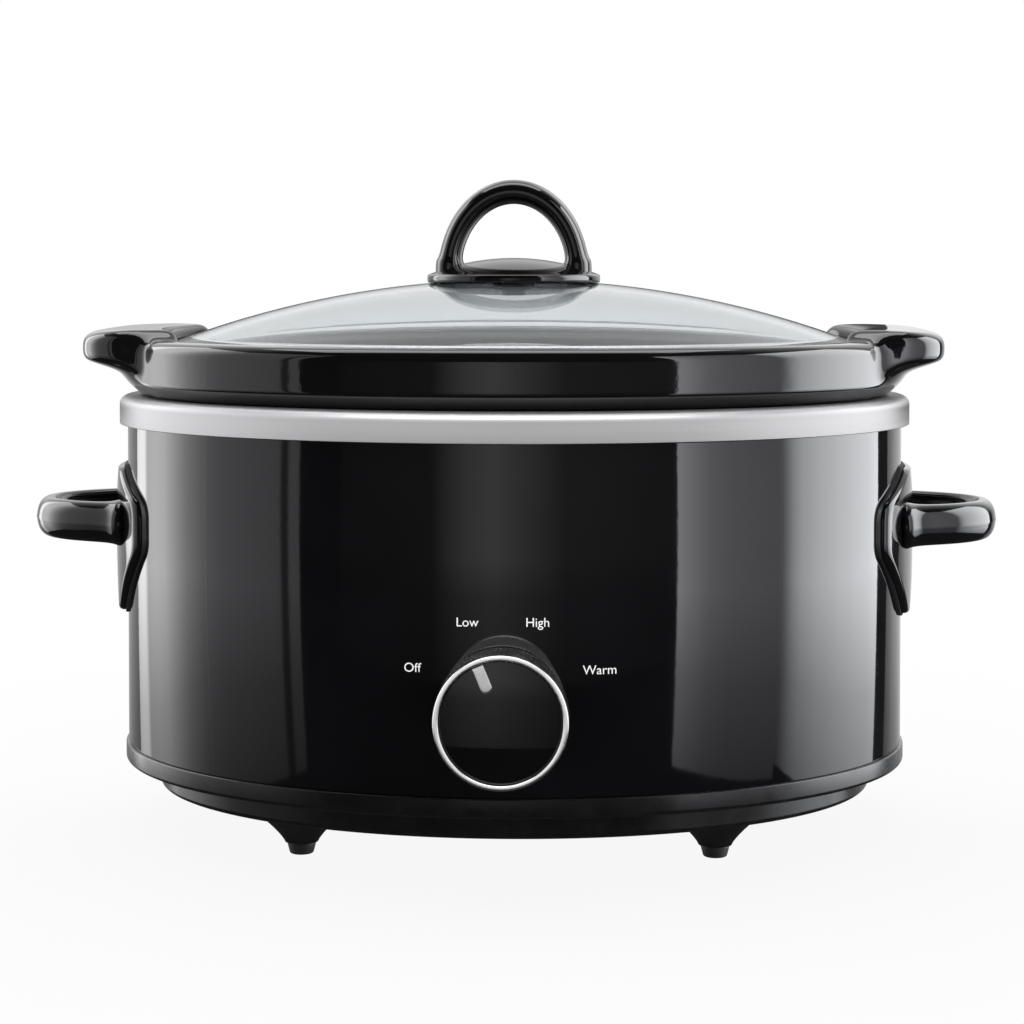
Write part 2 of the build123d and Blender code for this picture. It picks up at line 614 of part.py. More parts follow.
def make_handle_gasket():
    z_low, z_high = HANDLE_Z - SHIELD_PLATE_BOTTOM - 5, HANDLE_Z + SHIELD_PLATE_TOP + 5
    gasket = oval_ring(0, GASKET_THICKNESS, z_low, z_high) & shield_outline(GASKET_MARGIN)
    for z in handle_screw_points():
        gasket -= along_x(HANDLE_BOSS_RADIUS + FIT_GAP, SHELL_HALF_LENGTH - 9, SHELL_HALF_LENGTH + 9, z)
    return gasket


def make_handle_screw(z):
    face = backing_plate_face()
    screw_end = SHELL_HALF_LENGTH + PLATE_OFFSET - HANDLE_BORE_WALL - HANDLE_SCREW_END_GAP
    screw = along_x(HANDLE_SCREW_HEAD_RADIUS, face - HANDLE_SCREW_HEAD_HEIGHT, face, z)
    return screw + along_x(HANDLE_SCREW_RADIUS, face - 1, screw_end, z)


# ---------------------------------------------------------------- switch and knob

def blade_places():
    """Warm, line, high and low blades, from left to right."""
    return [BLADE_PITCH * (i - 1.5) for i in range(4)]


def blade(x, grow=0.0):
    """One blade of the switch in the switch's own axes, where -Y is down."""
    half_x, half_z = TAB_THICKNESS / 2 + grow, TAB_WIDTH / 2 + grow
    low = -SWITCH_HALF_HEIGHT - BLADE_TAIL
    return block((x - half_x, low, BLADE_DEPTH - half_z), (x + half_x, BLADE_TOP, BLADE_DEPTH + half_z))


def make_switch_housing():
    back = SWITCH_FRONT - SWITCH_DEPTH + SWITCH_COVER_THICKNESS
    housing = block((-SWITCH_HALF_WIDTH, -SWITCH_HALF_HEIGHT, back),
                    (SWITCH_HALF_WIDTH, SWITCH_HALF_HEIGHT, SWITCH_FRONT))
    housing -= block((SWITCH_WALL - SWITCH_HALF_WIDTH, SWITCH_WALL - SWITCH_HALF_HEIGHT, back - 1),
                     (SWITCH_HALF_WIDTH - SWITCH_WALL, SWITCH_HALF_HEIGHT - SWITCH_WALL,
                      SWITCH_FRONT - SWITCH_WALL))
    shell_inside = oval_y(-SHELL_WALL, SHOULDER_RADIUS) - SHELL_HALF_DEPTH
    housing += upright(SHOULDER_RADIUS, SWITCH_FRONT, shell_inside - FIT_GAP)
    housing += upright(BUSHING_RADIUS, SWITCH_FRONT, BUSHING_FRONT)
    housing -= upright(SHAFT_RADIUS + SHAFT_GAP, back, BUSHING_FRONT + 1)
    for x in blade_places():
        housing -= blade(x, FIT_GAP / 2)
    return facing_front(housing)


def make_switch_cover():
    back = SWITCH_FRONT - SWITCH_DEPTH
    return facing_front(block((-SWITCH_HALF_WIDTH, -SWITCH_HALF_HEIGHT, back),
                              (SWITCH_HALF_WIDTH, SWITCH_HALF_HEIGHT, back + SWITCH_COVER_THICKNESS)))


def make_switch_blades():
    return [facing_front(blade(x)) for x in blade_places()]


def make_switch_washer():
    return facing_front(tube_ring(BUSHING_RADIUS + FIT_GAP, SWITCH_WASHER_RADIUS,
                                  FIT_GAP, FIT_GAP + SWITCH_WASHER_THICKNESS))


def make_switch_nut():
    back = FIT_GAP + SWITCH_WASHER_THICKNESS
    nut = hexagon(SWITCH_NUT_RADIUS, back, back + SWITCH_NUT_THICKNESS)
    return facing_front(nut - upright(BUSHING_RADIUS + FIT_GAP / 2, back - 1, back + 9))


def turned_to_rest(part):
    """Turns a knob piece, drawn with its pointer straight up, to the rest position."""
    return facing_front(Rot(0, 0, -KNOB_REST_ANGLE) * part)


def flat_shaft(radius, start, end):
    """A round shaft with its D flat."""
    shaft = upright(radius, start, end)
    flat = SHAFT_RADIUS - SHAFT_FLAT_DEPTH + (radius - SHAFT_RADIUS)
    return shaft - block((-9, flat, start - 1), (9, 9, end + 1))


def make_switch_shaft():
    back = ROTOR_FRONT - ROTOR_THICKNESS
    shaft = upright(SHAFT_RADIUS, back, KNOB_HUB_BACK) + flat_shaft(SHAFT_RADIUS, KNOB_HUB_BACK, SHAFT_FRONT)
    return turned_to_rest(shaft + upright(ROTOR_RADIUS, back, ROTOR_FRONT))


def make_knob_core():
    outer = KNOB_RADIUS - KNOB_RING_WALL - FIT_GAP
    core = upright(outer, KNOB_CORE_BACK, KNOB_FACE_BACK)
    core -= upright(outer - KNOB_SKIRT_WALL, KNOB_CORE_BACK - 1, KNOB_PLATE_BACK)
    core += upright(KNOB_HUB_RADIUS, KNOB_HUB_BACK, KNOB_PLATE_BACK + 0.5)
    return turned_to_rest(core - flat_shaft(SHAFT_RADIUS + FIT_GAP, KNOB_HUB_BACK - 1, SHAFT_FRONT + 0.2))


def make_knob_ring():
    inner = KNOB_RADIUS - KNOB_RING_WALL
    return turned_to_rest(tube_ring(inner, KNOB_RADIUS, KNOB_BACK, KNOB_FRONT))


def make_knob_face():
    return turned_to_rest(upright(KNOB_RADIUS - KNOB_RING_WALL - FIT_GAP, KNOB_FACE_BACK, KNOB_FACE_FRONT))


def make_knob_pointer():
    outer = KNOB_RADIUS - KNOB_RING_WALL - FIT_GAP
    half = POINTER_WIDTH / 2
    tab = block((-half, outer - POINTER_LENGTH + half, KNOB_FACE_FRONT),
                (half, outer + 1, KNOB_FACE_FRONT + POINTER_HEIGHT))
    tab += upright(half, KNOB_FACE_FRONT, KNOB_FACE_FRONT + POINTER_HEIGHT, 0, outer - POINTER_LENGTH + half)
    return turned_to_rest(tab & upright(outer, KNOB_FACE_FRONT - 1, KNOB_FRONT))


def make_knob_clip():
    inner = KNOB_HUB_RADIUS + FIT_GAP
    clip = tube_ring(inner, inner + CLIP_WALL, CLIP_BACK, CLIP_BACK + CLIP_WIDTH)
    return turned_to_rest(clip - block((-CLIP_SLOT / 2, -9, 0), (CLIP_SLOT / 2, 0, CLIP_BACK + 9)))


# ---------------------------------------------------------------- wiring

def connector(x, y, tab_bottom, across_x):
    """A push-on receptacle over the lower end of a tab. across_x: the tab is wide along X."""
    top = tab_bottom + CONNECTOR_OVERLAP
    width, thickness = CONNECTOR_WIDTH / 2, CONNECTOR_THICKNESS / 2
    slot_width, slot_thickness = TAB_WIDTH / 2 + FIT_GAP, TAB_THICKNESS / 2 + FIT_GAP
    if not across_x:
        width, thickness = thickness, width
        slot_width, slot_thickness = slot_thickness, slot_width
    body = block((x - width, y - thickness, top - CONNECTOR_HEIGHT), (x + width, y + thickness, top))
    return body - block((x - slot_width, y - slot_thickness, tab_bottom - FIT_GAP),
                        (x + slot_width, y + slot_thickness, top + 1))


def switch_tab_bottom():
    return KNOB_Z - SWITCH_HALF_HEIGHT - BLADE_TAIL


def switch_tab_y():
    return -SHELL_HALF_DEPTH - BLADE_DEPTH


def make_connectors():
    pieces = [connector(x, switch_tab_y(), switch_tab_bottom(), False) for x in blade_places()]
    pieces += [connector(x, heater_tab_y(x) + TAB_THICKNESS / 2, HEATER_TAB_BOTTOM_Z, True)
               for x in heater_tab_places()]
    return pieces


def lead(points, radii):
    """A round lead along straight runs joined by arcs of the given radii."""
    path = FilletPolyline(*points, radius=radii)
    start = Plane(origin=path @ 0, z_dir=path % 0)
    return sweep(start * Circle(LEAD_RADIUS), path=path)


def lead_top(tab_bottom):
    """The height at which a lead leaves its connector."""
    return tab_bottom + CONNECTOR_OVERLAP - CONNECTOR_HEIGHT


def switch_to_heater(blade_x, heater_x):
    front_y, back_y = switch_tab_y(), heater_tab_y(heater_x) + TAB_THICKNESS / 2
    return lead([(blade_x, front_y, lead_top(switch_tab_bottom())), (blade_x, front_y, LEAD_FLOOR_Z),
                 (heater_x, back_y, LEAD_FLOOR_Z), (heater_x, back_y, lead_top(HEATER_TAB_BOTTOM_Z))],
                [LEAD_DROP_BEND, LEAD_RISE_BEND])


def block_wire_z():
    return BASE_FLOOR_Z + BLOCK_WIRE_HEIGHT


def block_wire_end_y():
    """How deep a lead goes into the front of the terminal block."""
    return BLOCK_Y - BLOCK_DEPTH / 2 + BLOCK_BORE_DEPTH - BLOCK_WIRE_END_GAP


def block_run_in_y():
    return BLOCK_Y - BLOCK_DEPTH / 2 - BLOCK_RUN_IN


def make_lead_line():
    x, y, z = blade_places()[1], switch_tab_y(), block_wire_z()
    return lead([(x, y, lead_top(switch_tab_bottom())), (x, y, LEAD_FLOOR_Z),
                 (LINE_LEAD_X, LINE_LEAD_FRONT_Y, LEAD_FLOOR_Z), (LINE_LEAD_X, LINE_LEAD_BACK_Y, z),
                 (-BLOCK_POLE_X, block_run_in_y(), z), (-BLOCK_POLE_X, block_wire_end_y(), z)],
                [LEAD_DROP_BEND, LEAD_WIDE_BEND, LEAD_WIDE_BEND, LEAD_RISE_BEND])


def fuse_y():
    return heater_tab_y(-HEATER_TAB_INNER_X) + TAB_THICKNESS / 2


def make_lead_return():
    x, front_y, z = RETURN_LEAD_X, block_run_in_y(), block_wire_z()
    return lead([(BLOCK_POLE_X, block_wire_end_y(), z), (BLOCK_POLE_X, front_y, z), (x, front_y, z),
                 (x, fuse_y(), z), (x, fuse_y(), FUSE_Z), (FUSE_X + FUSE_LENGTH / 2, fuse_y(), FUSE_Z)],
                [LEAD_BLOCK_BEND, LEAD_BLOCK_BEND, LEAD_RISE_BEND, LEAD_RISE_BEND])


def make_lead_fuse():
    return lead([(FUSE_X - FUSE_LENGTH / 2, fuse_y(), FUSE_Z), (-HEATER_TAB_INNER_X, fuse_y(), FUSE_Z),
                 (-HEATER_TAB_INNER_X, fuse_y(), lead_top(HEATER_TAB_BOTTOM_Z))], [LEAD_FUSE_BEND])


def make_thermal_fuse():
    half = FUSE_LENGTH / 2
    return Pos(0, fuse_y(), 0) * along_x(FUSE_RADIUS, FUSE_X - half, FUSE_X + half, FUSE_Z)


def make_fuse_clip():
    half, outer = FUSE_CLIP_WIDTH / 2, FUSE_RADIUS + FIT_GAP + FUSE_CLIP_WALL
    clip = along_x(outer, FUSE_X - half, FUSE_X + half, FUSE_Z)
    near_x = abs(FUSE_X) - half
    well_y = oval_y(well_wall_offset(FUSE_Z + outer), near_x) + FIT_GAP
    clip = Pos(0, fuse_y(), 0) * clip
    clip += block((FUSE_X - half, well_y, FUSE_Z - outer), (FUSE_X + half, fuse_y(), FUSE_Z + outer))
    bore = along_x(FUSE_RADIUS + FIT_GAP, FUSE_X - half - 1, FUSE_X + half + 1, FUSE_Z)
    return clip - Pos(0, fuse_y(), 0) * bore


def make_terminal_block():
    low_y, high_y = BLOCK_Y - BLOCK_DEPTH / 2, BLOCK_Y + BLOCK_DEPTH / 2
    top = BASE_FLOOR_Z + BLOCK_HEIGHT
    body = block((-BLOCK_WIDTH / 2, low_y, BASE_FLOOR_Z), (BLOCK_WIDTH / 2, high_y, top))
    for x in (-BLOCK_POLE_X, BLOCK_POLE_X):
        for y in (low_y, high_y):
            bore = Rot(90, 0, 0) * Cylinder(BLOCK_BORE_RADIUS, 2 * BLOCK_BORE_DEPTH)
            body -= Pos(x, y, block_wire_z()) * bore
            screw_y = y + (BLOCK_DEPTH / 4 if y < BLOCK_Y else -BLOCK_DEPTH / 4)
            body -= upright(BLOCK_SCREW_RADIUS + FIT_GAP, top - BLOCK_SCREW_LENGTH, top + 1, x, screw_y)
    return body


def make_terminal_screws():
    top = BASE_FLOOR_Z + BLOCK_HEIGHT
    return [upright(BLOCK_SCREW_RADIUS, top - BLOCK_SCREW_LENGTH, top, x, BLOCK_Y + side * BLOCK_DEPTH / 4)
            for x in (-BLOCK_POLE_X, BLOCK_POLE_X) for side in (-1, 1)]


# ---------------------------------------------------------------- crock

def make_ear():
    """One lug of the crock at the +X end: its side profile, cut to a rounded plan."""
    x0, tip = SHELL_HALF_LENGTH, SHELL_HALF_LENGTH + EAR_REACH
    root = x0 + LEDGE_OUTER_OFFSET
    profile = Polygon((root, EAR_ROOT_BOTTOM), (x0 - 1, EAR_ROOT_BOTTOM),
                      (x0 + EAR_KNEE_REACH, EAR_KNEE_HEIGHT), (tip - EAR_TIP_UNDERCUT, EAR_TIP_BOTTOM),
                      (tip, EAR_TIP_BOTTOM + EAR_TIP_UNDERCUT_HEIGHT), (tip, EAR_TIP_TOP),
                      (tip - EAR_TIP_SHOULDER_STEP, EAR_TOP - EAR_TIP_SHOULDER_DROP),
                      (tip - EAR_TIP_SHOULDER, EAR_TOP), (root, EAR_TOP), align=None)
    ear = extrude(Plane.XZ * profile, EAR_HALF_WIDTH, both=True)
    plan = Rectangle(2 * (tip - root), 2 * EAR_HALF_WIDTH)
    plan = fillet(plan.vertices(), EAR_CORNER)
    ear &= Pos(root, 0, 0) * extrude(plan, 2 * EAR_TOP)
    return Pos(0, 0, RIM_BOTTOM_Z) * ear


def make_crock():
    body_top = RIM_BOTTOM_Z + 1
    crock = oval_stack([(CROCK_FOOT_OFFSET, CROCK_BOTTOM_Z),
                        (CROCK_BODY_FOOT_OFFSET, CROCK_BOTTOM_Z + CROCK_CORNER_HEIGHT),
                        (CROCK_BODY_TOP_OFFSET, body_top)])
    face_top = RIM_BOTTOM_Z + RIM_BEVEL_HEIGHT + RIM_FACE_HEIGHT
    crock += oval_stack([(-RIM_BEVEL_WIDTH, RIM_BOTTOM_Z), (0, RIM_BOTTOM_Z + RIM_BEVEL_HEIGHT),
                         (0, face_top), (-0.3 * RIM_ROUND_WIDTH, RIM_CREST_Z - RIM_ROUND_DROP),
                         (-RIM_ROUND_WIDTH, RIM_CREST_Z)])
    for ear in on_both_ends(make_ear()):
        crock += ear
    above = RIM_BOTTOM_Z + EAR_TOP + 5
    crock -= oval_stack([(LEDGE_OUTER_OFFSET, LEDGE_Z), (LEDGE_OUTER_OFFSET, RIM_CREST_Z - 2),
                         (LEDGE_OUTER_OFFSET + 2, RIM_CREST_Z + 1), (LEDGE_OUTER_OFFSET + 3, above)])
    floor_z = CROCK_BOTTOM_Z + CROCK_FLOOR
    crock -= oval_stack([(CROCK_FOOT_OFFSET - CROCK_WALL - 1, floor_z),
                         (CROCK_BODY_FOOT_OFFSET - CROCK_WALL, floor_z + CROCK_CORNER_HEIGHT),
                         (CROCK_BODY_TOP_OFFSET - CROCK_WALL, body_top), (LEDGE_INNER_OFFSET, LEDGE_Z + 1)])
    return crock


# ---------------------------------------------------------------- lid

def dome(half_length, bottom, rise, ratio):
    """A spherical cap of this half length and rise, drawn in to the oval's depth."""
    radius = cap_radius(half_length, rise)
    above = block((-half_length - 1, -half_length - 1, 0), (half_length + 1, half_length + 1, rise + 1))
    cap = Pos(0, 0, rise - radius) * Sphere(radius) & above
    return Pos(0, 0, bottom) * scale(cap, by=(1, ratio, 1))


def make_lid_glass():
    ratio = LID_HALF_DEPTH / LID_HALF_LENGTH
    edge = extrude(Ellipse(LID_HALF_LENGTH, LID_HALF_DEPTH), LID_EDGE_THICKNESS)
    inside_rise = LID_APEX_Z - LID_GLASS - LID_BOTTOM_Z
    glass = dome(LID_HALF_LENGTH, LID_BOTTOM_Z + LID_EDGE_THICKNESS, LID_DOME_RISE, ratio)
    glass = Pos(0, 0, LID_BOTTOM_Z) * edge + glass
    glass -= dome(LID_HALF_LENGTH - LID_FLANGE_WIDTH, LID_BOTTOM_Z, inside_rise, ratio)
    return glass - upright(LID_HOLE_RADIUS, LID_BOTTOM_Z, LID_APEX_Z + 5)


def cap_radius(half_width, rise):
    """The radius of the circle whose cap is this wide and this high."""
    return (half_width ** 2 + rise ** 2) / (2 * rise)


def dome_ball(gap):
    """A ball that lies on the lid's dome along the oval and clears it elsewhere."""
    radius = cap_radius(LID_HALF_LENGTH, LID_DOME_RISE)
    return Pos(0, 0, LID_APEX_Z + gap - radius) * Sphere(radius)


def arch_face(half_width, height):
    """Half an ellipse on two short straight legs, in X and Y."""
    upper = Ellipse(half_width, height) & Pos(0, height / 2) * Rectangle(2 * half_width + 1, height)
    return upper + Pos(0, -ARCH_LEG / 2) * Rectangle(2 * half_width, ARCH_LEG)


def make_handle_disc():
    """The handle's round foot, turned in one piece: crown, rim, hollow underside, seal pocket, bore."""
    ball = cap_radius(LID_HALF_LENGTH, LID_DOME_RISE)

    def under(r):
        return LID_APEX_Z + FIT_GAP - ball + math.sqrt(ball ** 2 - r ** 2)

    edge_z = LID_APEX_Z + HANDLE_DISC_EDGE_ABOVE_APEX
    crown_z = edge_z + HANDLE_DISC_CROWN
    crown_radius = cap_radius(HANDLE_DISC_RADIUS, HANDLE_DISC_CROWN)

    def over(r):
        return crown_z - crown_radius + math.sqrt(crown_radius ** 2 - r ** 2)

    flat, half = HANDLE_DISC_FLAT_RADIUS, HANDLE_DISC_RADIUS / 2
    rim, pocket = HANDLE_DISC_RADIUS, LID_SEAL_RADIUS + FIT_GAP
    between = (rim + pocket) / 2
    pocket_z = LID_APEX_Z + LID_SEAL_TOP_ABOVE_APEX
    screw_end = LID_APEX_Z + LID_SCREW_END_ABOVE_APEX
    outline = [
        ThreePointArc((flat, over(flat)), (half, over(half)), (rim, edge_z)),
        Line((rim, edge_z), (rim, under(rim))),
        ThreePointArc((rim, under(rim)), (between, under(between)), (pocket, under(pocket))),
        Polyline((pocket, under(pocket)), (pocket, pocket_z), (LID_SCREW_RADIUS, pocket_z),
                 (LID_SCREW_RADIUS, screw_end), (0, screw_end), (0, over(flat)), (flat, over(flat))),
    ]
    return revolve(Plane.XZ * make_face(Curve() + outline), Axis.Z)


def make_lid_handle():
    face = arch_face(ARCH_HALF_WIDTH, ARCH_HEIGHT) - arch_face(ARCH_INNER_HALF_WIDTH, ARCH_INNER_HEIGHT)
    arch = Pos(0, ARCH_DEPTH / 2, 0) * extrude(Plane.XZ * face, ARCH_DEPTH)
    along_arch = arch.edges().filter_by(lambda e: abs(abs(e.center().Y) - ARCH_DEPTH / 2) < 1e-3
                                        and e.bounding_box().size.Z > 1)
    return make_handle_disc() + Pos(0, 0, ARCH_BASE_Z) * fillet(along_arch, ARCH_ROUND)


def make_lid_handle_seal():
    seal = upright(LID_SEAL_RADIUS, LID_APEX_Z - 4, LID_APEX_Z + LID_SEAL_TOP_ABOVE_APEX - FIT_GAP)
    seal -= dome_ball(FIT_GAP / 2)
    return seal - upright(LID_SCREW_RADIUS + FIT_GAP, LID_APEX_Z - 9, LID_APEX_Z + 9)


def lid_washer_top():
    """Just under the glass at the washers' rim, where the dome has begun to fall."""
    inside_half_depth = (LID_HALF_LENGTH - LID_FLANGE_WIDTH) * LID_HALF_DEPTH / LID_HALF_LENGTH
    inside_rise = LID_APEX_Z - LID_GLASS - LID_BOTTOM_Z
    fall = inside_rise * (LID_WASHER_RADIUS / inside_half_depth) ** 2
    return LID_APEX_Z - LID_GLASS - fall - FIT_GAP


def make_lid_washers():
    """The silicone washer against the glass, then the steel one."""
    top = lid_washer_top()
    bore = LID_SCREW_RADIUS + FIT_GAP
    middle, bottom = top - LID_WASHER_THICKNESS, top - 2 * LID_WASHER_THICKNESS
    return [tube_ring(bore, LID_WASHER_RADIUS, middle, top),
            tube_ring(bore, LID_WASHER_RADIUS, bottom, middle)]


def make_lid_screw():
    top = lid_washer_top() - 2 * LID_WASHER_THICKNESS
    screw = upright(LID_SCREW_HEAD_RADIUS, top - LID_SCREW_HEAD_HEIGHT, top)
    screw += upright(LID_SCREW_RADIUS - FIT_GAP / 2, top - 1,
                     LID_APEX_Z + LID_SCREW_END_ABOVE_APEX - LID_SCREW_END_GAP)
    head = top - LID_SCREW_HEAD_HEIGHT
    slot = block((-LID_SCREW_HEAD_RADIUS - 1, -LID_SCREW_SLOT / 2, head - 1),
                 (LID_SCREW_HEAD_RADIUS + 1, LID_SCREW_SLOT / 2, head + LID_SCREW_SLOT))
    return screw - slot


# ---------------------------------------------------------------- writing the parts

def all_parts():
    """Every node's name with its solid or its group of solids."""
    silicone_washer, steel_washer = make_lid_washers()
    right_handle, left_handle = on_both_ends(make_handle())
    handle_screws = []
    for z in handle_screw_points():
        handle_screws += on_both_ends(make_handle_screw(z))
    warm_x, common_x, high_x, low_x = heater_tab_places()
    warm_blade, line_blade, high_blade, low_blade = blade_places()
    return {
        "base_pan": make_base_pan(),
        "rubber_feet": make_rubber_feet(),
        "outer_shell": make_outer_shell(),
        "heating_well": make_heating_well(),
        "heating_band": make_heating_band(),
        "heater_strap": make_heater_strap(),
        "heater_strap_screw": make_strap_screw(),
        "heater_tabs": make_heater_tabs(),
        "well_bracket": make_well_bracket(),
        "centre_stud": make_centre_stud(),
        "stud_spacers": make_stud_spacers(),
        "heat_shield": make_heat_shield(),
        "centre_washer": make_centre_washer(),
        "centre_nut": make_centre_nut(),
        "cord_gland": make_cord_gland(),
        "handle_right": right_handle,
        "handle_left": left_handle,
        "handle_gaskets": on_both_ends(make_handle_gasket()),
        "handle_backing_plates": on_both_ends(make_backing_plate()),
        "handle_screws": handle_screws,
        "switch_housing": make_switch_housing(),
        "switch_cover": make_switch_cover(),
        "switch_blades": make_switch_blades(),
        "switch_washer": make_switch_washer(),
        "switch_nut": make_switch_nut(),
        "switch_shaft": make_switch_shaft(),
        "knob_core": make_knob_core(),
        "knob_ring": make_knob_ring(),
        "knob_face": make_knob_face(),
        "knob_pointer": make_knob_pointer(),
        "knob_clip": make_knob_clip(),
        "wire_connectors": make_connectors(),
        "lead_warm": switch_to_heater(warm_blade, warm_x),
        "lead_high": switch_to_heater(high_blade, high_x),
        "lead_low": switch_to_heater(low_blade, low_x),
        "lead_line": make_lead_line(),
        "lead_return": make_lead_return(),
        "lead_fuse": make_lead_fuse(),
        "thermal_fuse": make_thermal_fuse(),
        "fuse_clip": make_fuse_clip(),
        "terminal_block": make_terminal_block(),
        "terminal_screws": make_terminal_screws(),
        "stoneware_crock": make_crock(),
        "lid_glass": make_lid_glass(),
        "lid_handle": make_lid_handle(),
        "lid_handle_seal": make_lid_handle_seal(),
        "lid_washer_silicone": silicone_washer,
        "lid_washer_steel": steel_washer,
        "lid_screw": make_lid_screw(),
    }


def main():
    os.makedirs("parts", exist_ok=True)
    to_frame = Pos(0, FRAME_SHIFT_Y, 0)
    for name, shape in all_parts().items():
        pieces = shape if isinstance(shape, list) else [shape]
        solids = [to_frame * solid for piece in pieces for solid in piece.solids()]
        export_step(solids[0] if len(solids) == 1 else Compound(children=solids), f"parts/{name}.step")
    print("frame shift along Y:", round(FRAME_SHIFT_Y, 3))


if __name__ == "__main__":
    main()
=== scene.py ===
import bmesh
import bpy
import math
import numpy as np
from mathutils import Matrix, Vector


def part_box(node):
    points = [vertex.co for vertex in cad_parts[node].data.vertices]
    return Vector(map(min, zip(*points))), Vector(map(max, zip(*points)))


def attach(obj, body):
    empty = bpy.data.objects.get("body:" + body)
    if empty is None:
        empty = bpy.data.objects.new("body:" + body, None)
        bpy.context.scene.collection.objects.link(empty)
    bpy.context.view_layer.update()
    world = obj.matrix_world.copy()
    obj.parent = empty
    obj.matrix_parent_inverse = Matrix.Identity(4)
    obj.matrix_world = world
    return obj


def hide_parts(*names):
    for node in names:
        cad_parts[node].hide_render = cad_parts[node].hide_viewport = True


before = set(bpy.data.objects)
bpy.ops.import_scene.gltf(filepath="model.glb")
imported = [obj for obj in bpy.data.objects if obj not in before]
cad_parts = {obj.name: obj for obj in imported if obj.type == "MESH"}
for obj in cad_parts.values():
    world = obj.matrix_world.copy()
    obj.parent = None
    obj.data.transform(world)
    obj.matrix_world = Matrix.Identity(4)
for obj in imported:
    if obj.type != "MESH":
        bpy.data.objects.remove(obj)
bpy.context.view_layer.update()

# ---------------------------------------------------------------- the room
# A seamless white room. The camera stands a little right of the cooker's middle, at the height of
# the lid, and looks down by a degree or two. The white backdrop is bright behind the cooker and
# falls away in front of it, so that the black enamel stays black.
MM = 0.001
shell_low, shell_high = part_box("outer_shell")
OVAL_Y = (shell_low.y + shell_high.y) / 2
CAMERA_AZIMUTH = math.radians(1.9)
CAMERA_DISTANCE = 0.919
CAMERA_HEIGHT = 0.215
CAMERA_PITCH = math.radians(1.53)
LENS, SENSOR = 84.5, 36
SHIFT_ACROSS, SHIFT_UP = -0.0017, -0.19

scene = bpy.context.scene
scene.view_settings.view_transform = "Standard"
camera = bpy.data.objects.new("camera", bpy.data.cameras.new("camera"))
scene.collection.objects.link(camera)
camera.location = (CAMERA_DISTANCE * math.sin(CAMERA_AZIMUTH),
                   OVAL_Y - CAMERA_DISTANCE * math.cos(CAMERA_AZIMUTH), CAMERA_HEIGHT)
camera.rotation_euler = (math.pi / 2 - CAMERA_PITCH, 0, CAMERA_AZIMUTH)
camera.data.lens = LENS
camera.data.sensor_width = SENSOR
camera.data.shift_x = SHIFT_ACROSS
camera.data.shift_y = SHIFT_UP
scene.camera = camera

world = bpy.data.worlds.new("white_room")
scene.world = world
world.use_nodes = True
room = world.node_tree
room.nodes.clear()


def add(tree, kind, **values):
    """A node of this kind in a tree, with its own settings and its inputs set by name."""
    node = tree.nodes.new("ShaderNode" + kind)
    for key, value in values.items():
        if hasattr(node, key):
            setattr(node, key, value)
        else:
            node.inputs[key.replace("_", " ")].default_value = value
    return node


def join(tree, *pairs):
    """Links sockets two by two."""
    for start, end in zip(pairs[::2], pairs[1::2]):
        tree.links.new(start, end)


def ramp(tree, source, stops, interpolation="LINEAR"):
    """A colour ramp over a value, with its stops as (position, grey or colour)."""
    node = tree.nodes.new("ShaderNodeValToRGB")
    node.color_ramp.interpolation = interpolation
    elements = node.color_ramp.elements
    while len(elements) < len(stops):
        elements.new(0.5)
    for element, (position, colour) in zip(elements, stops):
        element.position = position
        element.color = (*colour, 1) if hasattr(colour, "__len__") else (colour, colour, colour, 1)
    tree.links.new(source, node.inputs[0])
    return node.outputs[0]


direction = add(room, "TexCoord")
parts = add(room, "SeparateXYZ")
join(room, direction.outputs["Generated"], parts.inputs[0])
height = add(room, "MapRange", interpolation_type="SMOOTHSTEP", From_Min=0.0, From_Max=0.35)
behind = add(room, "MapRange", interpolation_type="SMOOTHSTEP", From_Min=-0.15, From_Max=0.6)
glow = add(room, "Math", operation="MULTIPLY_ADD")
DIMMEST = 0.03
glow.inputs[2].default_value = DIMMEST
join(room, parts.outputs[2], height.inputs[0], parts.outputs[1], behind.inputs[0],
     height.outputs[0], glow.inputs[0], behind.outputs[0], glow.inputs[1])
sight = add(room, "LightPath")
seen = add(room, "Math", operation="MAXIMUM")
join(room, sight.outputs["Is Camera Ray"], seen.inputs[0],
     sight.outputs["Is Transmission Ray"], seen.inputs[1])
shade = add(room, "Mix", data_type="FLOAT")
join(room, seen.outputs[0], shade.inputs[0], glow.outputs[0], shade.inputs[2])
shade.inputs[3].default_value = 1.0
backdrop = add(room, "Background", Color=(1, 1, 1, 1))
end = add(room, "OutputWorld")
join(room, shade.outputs[0], backdrop.inputs["Strength"], backdrop.outputs[0], end.inputs[0])


bare_metal = bpy.data.collections.new("bare_metal")
dark_gloss = bpy.data.collections.new("dark_gloss")


def area_light(name, width, height, energy, location, turn, lights=None):
    """A rectangular light, this wide and high in metres, that the camera doesn't see. It lights
    everything, or only what is in a collection."""
    light = bpy.data.lights.new(name, "AREA")
    light.shape = "RECTANGLE"
    light.size, light.size_y = width, height
    light.energy = energy
    box = bpy.data.objects.new(name, light)
    scene.collection.objects.link(box)
    box.location = location
    box.rotation_euler = turn
    box.visible_camera = False
    if lights is not None:
        box.light_linking.receiver_collection = lights
    return light


